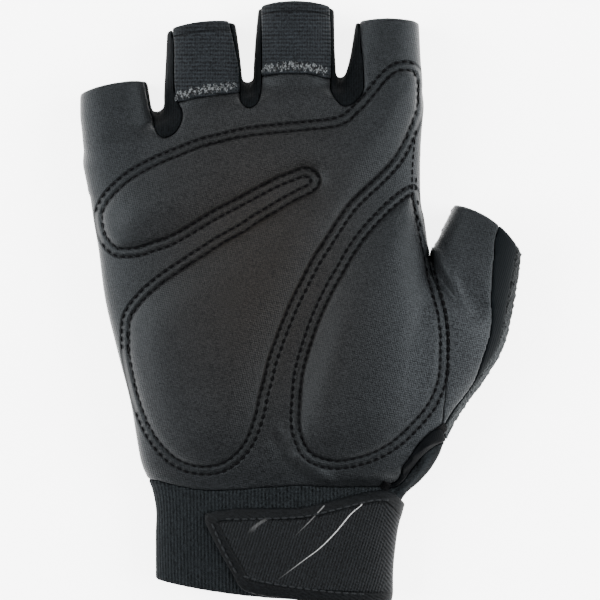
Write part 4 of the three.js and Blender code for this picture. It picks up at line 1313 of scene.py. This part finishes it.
class GLOVE_OT_zigzags(GloveOperator, bpy.types.Operator):
    """Sew the bright zigzag bands of the pull tabs"""

    bl_idname = "glove.zigzags"
    bl_label = "Zigzag stitches"

    SEED = 7
    PASSES = 8
    PITCH = 0.9
    HEIGHT = 2.0
    FROM_EDGE = 0.9
    SHAKE_ACROSS = (-0.6, 0.6)
    SHAKE_ALONG = (-0.4, 0.9)
    THREAD_RADIUS = 0.10
    BOW = 0.8
    SINK = 0.2

    def build(self, glove, area):
        heights = shells()["heights"] + TAB_RISE
        scatter = np.random.default_rng(self.SEED)
        material = mottled_thread("bright_thread")
        for name, line in TAB_EDGES.items():
            base = catmull(plan(line), STITCH_STEPS)
            first, last = ((column - MIDDLE_PIXEL) * PIXEL for column in ZIGZAG_SPANS[name])
            rows = []
            for _ in range(self.PASSES):
                x = np.arange(first, last, self.PITCH)
                x = x + scatter.uniform(*self.SHAKE_ACROSS, len(x))
                y = np.interp(x, base[:, 0], base[:, 1]) + self.FROM_EDGE
                y += scatter.uniform(*self.SHAKE_ALONG, len(x))
                y[1::2] += self.HEIGHT
                points = np.stack((x, y), axis=1)
                rows.append((points[:-1], points[1:]))
            threads(name + "_zigzag", rows, heights, material, self.THREAD_RADIUS, self.BOW, self.SINK)


class GLOVE_OT_stage(GloveOperator, bpy.types.Operator):
    """Set up the floor, the lights and the camera"""

    bl_idname = "glove.stage"
    bl_label = "Stage"

    LIGHTS = (
        ("left_softbox", (-0.95, 0.10, 0.55), (0.8, 1.2), 46.0),
        ("right_softbox", (0.95, 0.10, 0.55), (0.8, 1.2), 46.0),
        ("top_softbox", (0.0, 0.75, 1.3), (1.2, 0.6), 10.0),
    )
    FLOOR_GLOW = 5.0
    FLOOR_DROP = 0.1
    FLOOR_HALF = 3000.0
    WORLD_STRENGTH = 0.25
    SENSOR_WIDTH = 36.0

    def execute(self, context):
        scene = context.scene
        shader = Shader(
            "floor", roughness=0.9, base_color=paint("floor"), emission_color=paint("floor"),
            emission_strength=self.FLOOR_GLOW,
        )
        half = self.FLOOR_HALF
        low = -self.FLOOR_DROP
        corners = [(-half, -half, low), (half, -half, low), (half, half, low), (-half, half, low)]
        mesh = bpy.data.meshes.new("floor")
        mesh.from_pydata([tuple(c / METRE for c in corner) for corner in corners], [], [(0, 1, 2, 3)])
        mesh.materials.append(shader.material)
        floor = bpy.data.objects.new("floor", mesh)
        scene.collection.objects.link(floor)
        for name, place, extent, power in self.LIGHTS:
            light = bpy.data.lights.new(name, "AREA")
            light.shape = "RECTANGLE"
            light.size, light.size_y = extent
            light.energy = power
            lamp = bpy.data.objects.new(name, light)
            lamp.location = place
            toward = -lamp.location
            lamp.rotation_euler = toward.to_track_quat("-Z", "Y").to_euler()
            scene.collection.objects.link(lamp)
        world = bpy.data.worlds.new("world")
        world.use_nodes = True
        sky = world.node_tree.nodes["Background"].inputs
        sky["Color"].default_value = (1.0, 1.0, 1.0, 1.0)
        sky["Strength"].default_value = self.WORLD_STRENGTH
        scene.world = world
        distance = size("camera_distance") / METRE
        frame_width = 2 * MIDDLE_PIXEL * PIXEL / METRE
        camera = bpy.data.cameras.new("camera")
        camera.sensor_width = self.SENSOR_WIDTH
        camera.lens = camera.sensor_width * distance / frame_width
        eye = bpy.data.objects.new("camera", camera)
        eye.location = (0.0, 0.0, distance + TRACE_HEIGHT / METRE)
        scene.collection.objects.link(eye)
        scene.camera = eye
        return {"FINISHED"}


OPERATORS = (
    GLOVE_OT_palm, GLOVE_OT_pads, GLOVE_OT_tabs, GLOVE_OT_webs, GLOVE_OT_back, GLOVE_OT_thumb,
    GLOVE_OT_cuff, GLOVE_OT_strap, GLOVE_OT_stitches, GLOVE_OT_zigzags, GLOVE_OT_stage,
)


class GLOVE_PT_panel(bpy.types.Panel):
    """Buttons, sizes and colours of the glove"""

    bl_idname = "GLOVE_PT_panel"
    bl_label = "Cycling glove"
    bl_space_type = "VIEW_3D"
    bl_region_type = "UI"
    bl_category = "Glove"

    def draw(self, context):
        for operator in OPERATORS:
            self.layout.operator(operator.bl_idname)
        for group in (context.scene.glove_sizes, context.scene.glove_colours):
            box = self.layout.box()
            for name in group.__annotations__:
                box.prop(group, name)


CLASSES = (GloveSizes, GloveColours, *OPERATORS, GLOVE_PT_panel)


def register():
    for item in CLASSES:
        bpy.utils.register_class(item)
    bpy.types.Scene.glove_sizes = bpy.props.PointerProperty(type=GloveSizes)
    bpy.types.Scene.glove_colours = bpy.props.PointerProperty(type=GloveColours)


def unregister():
    del bpy.types.Scene.glove_colours
    del bpy.types.Scene.glove_sizes
    for item in reversed(CLASSES):
        bpy.utils.unregister_class(item)


def main():
    register()
    for operator in OPERATORS:
        group, name = operator.bl_idname.split(".")
        getattr(getattr(bpy.ops, group), name)()


if __name__ == "__main__":
    main()
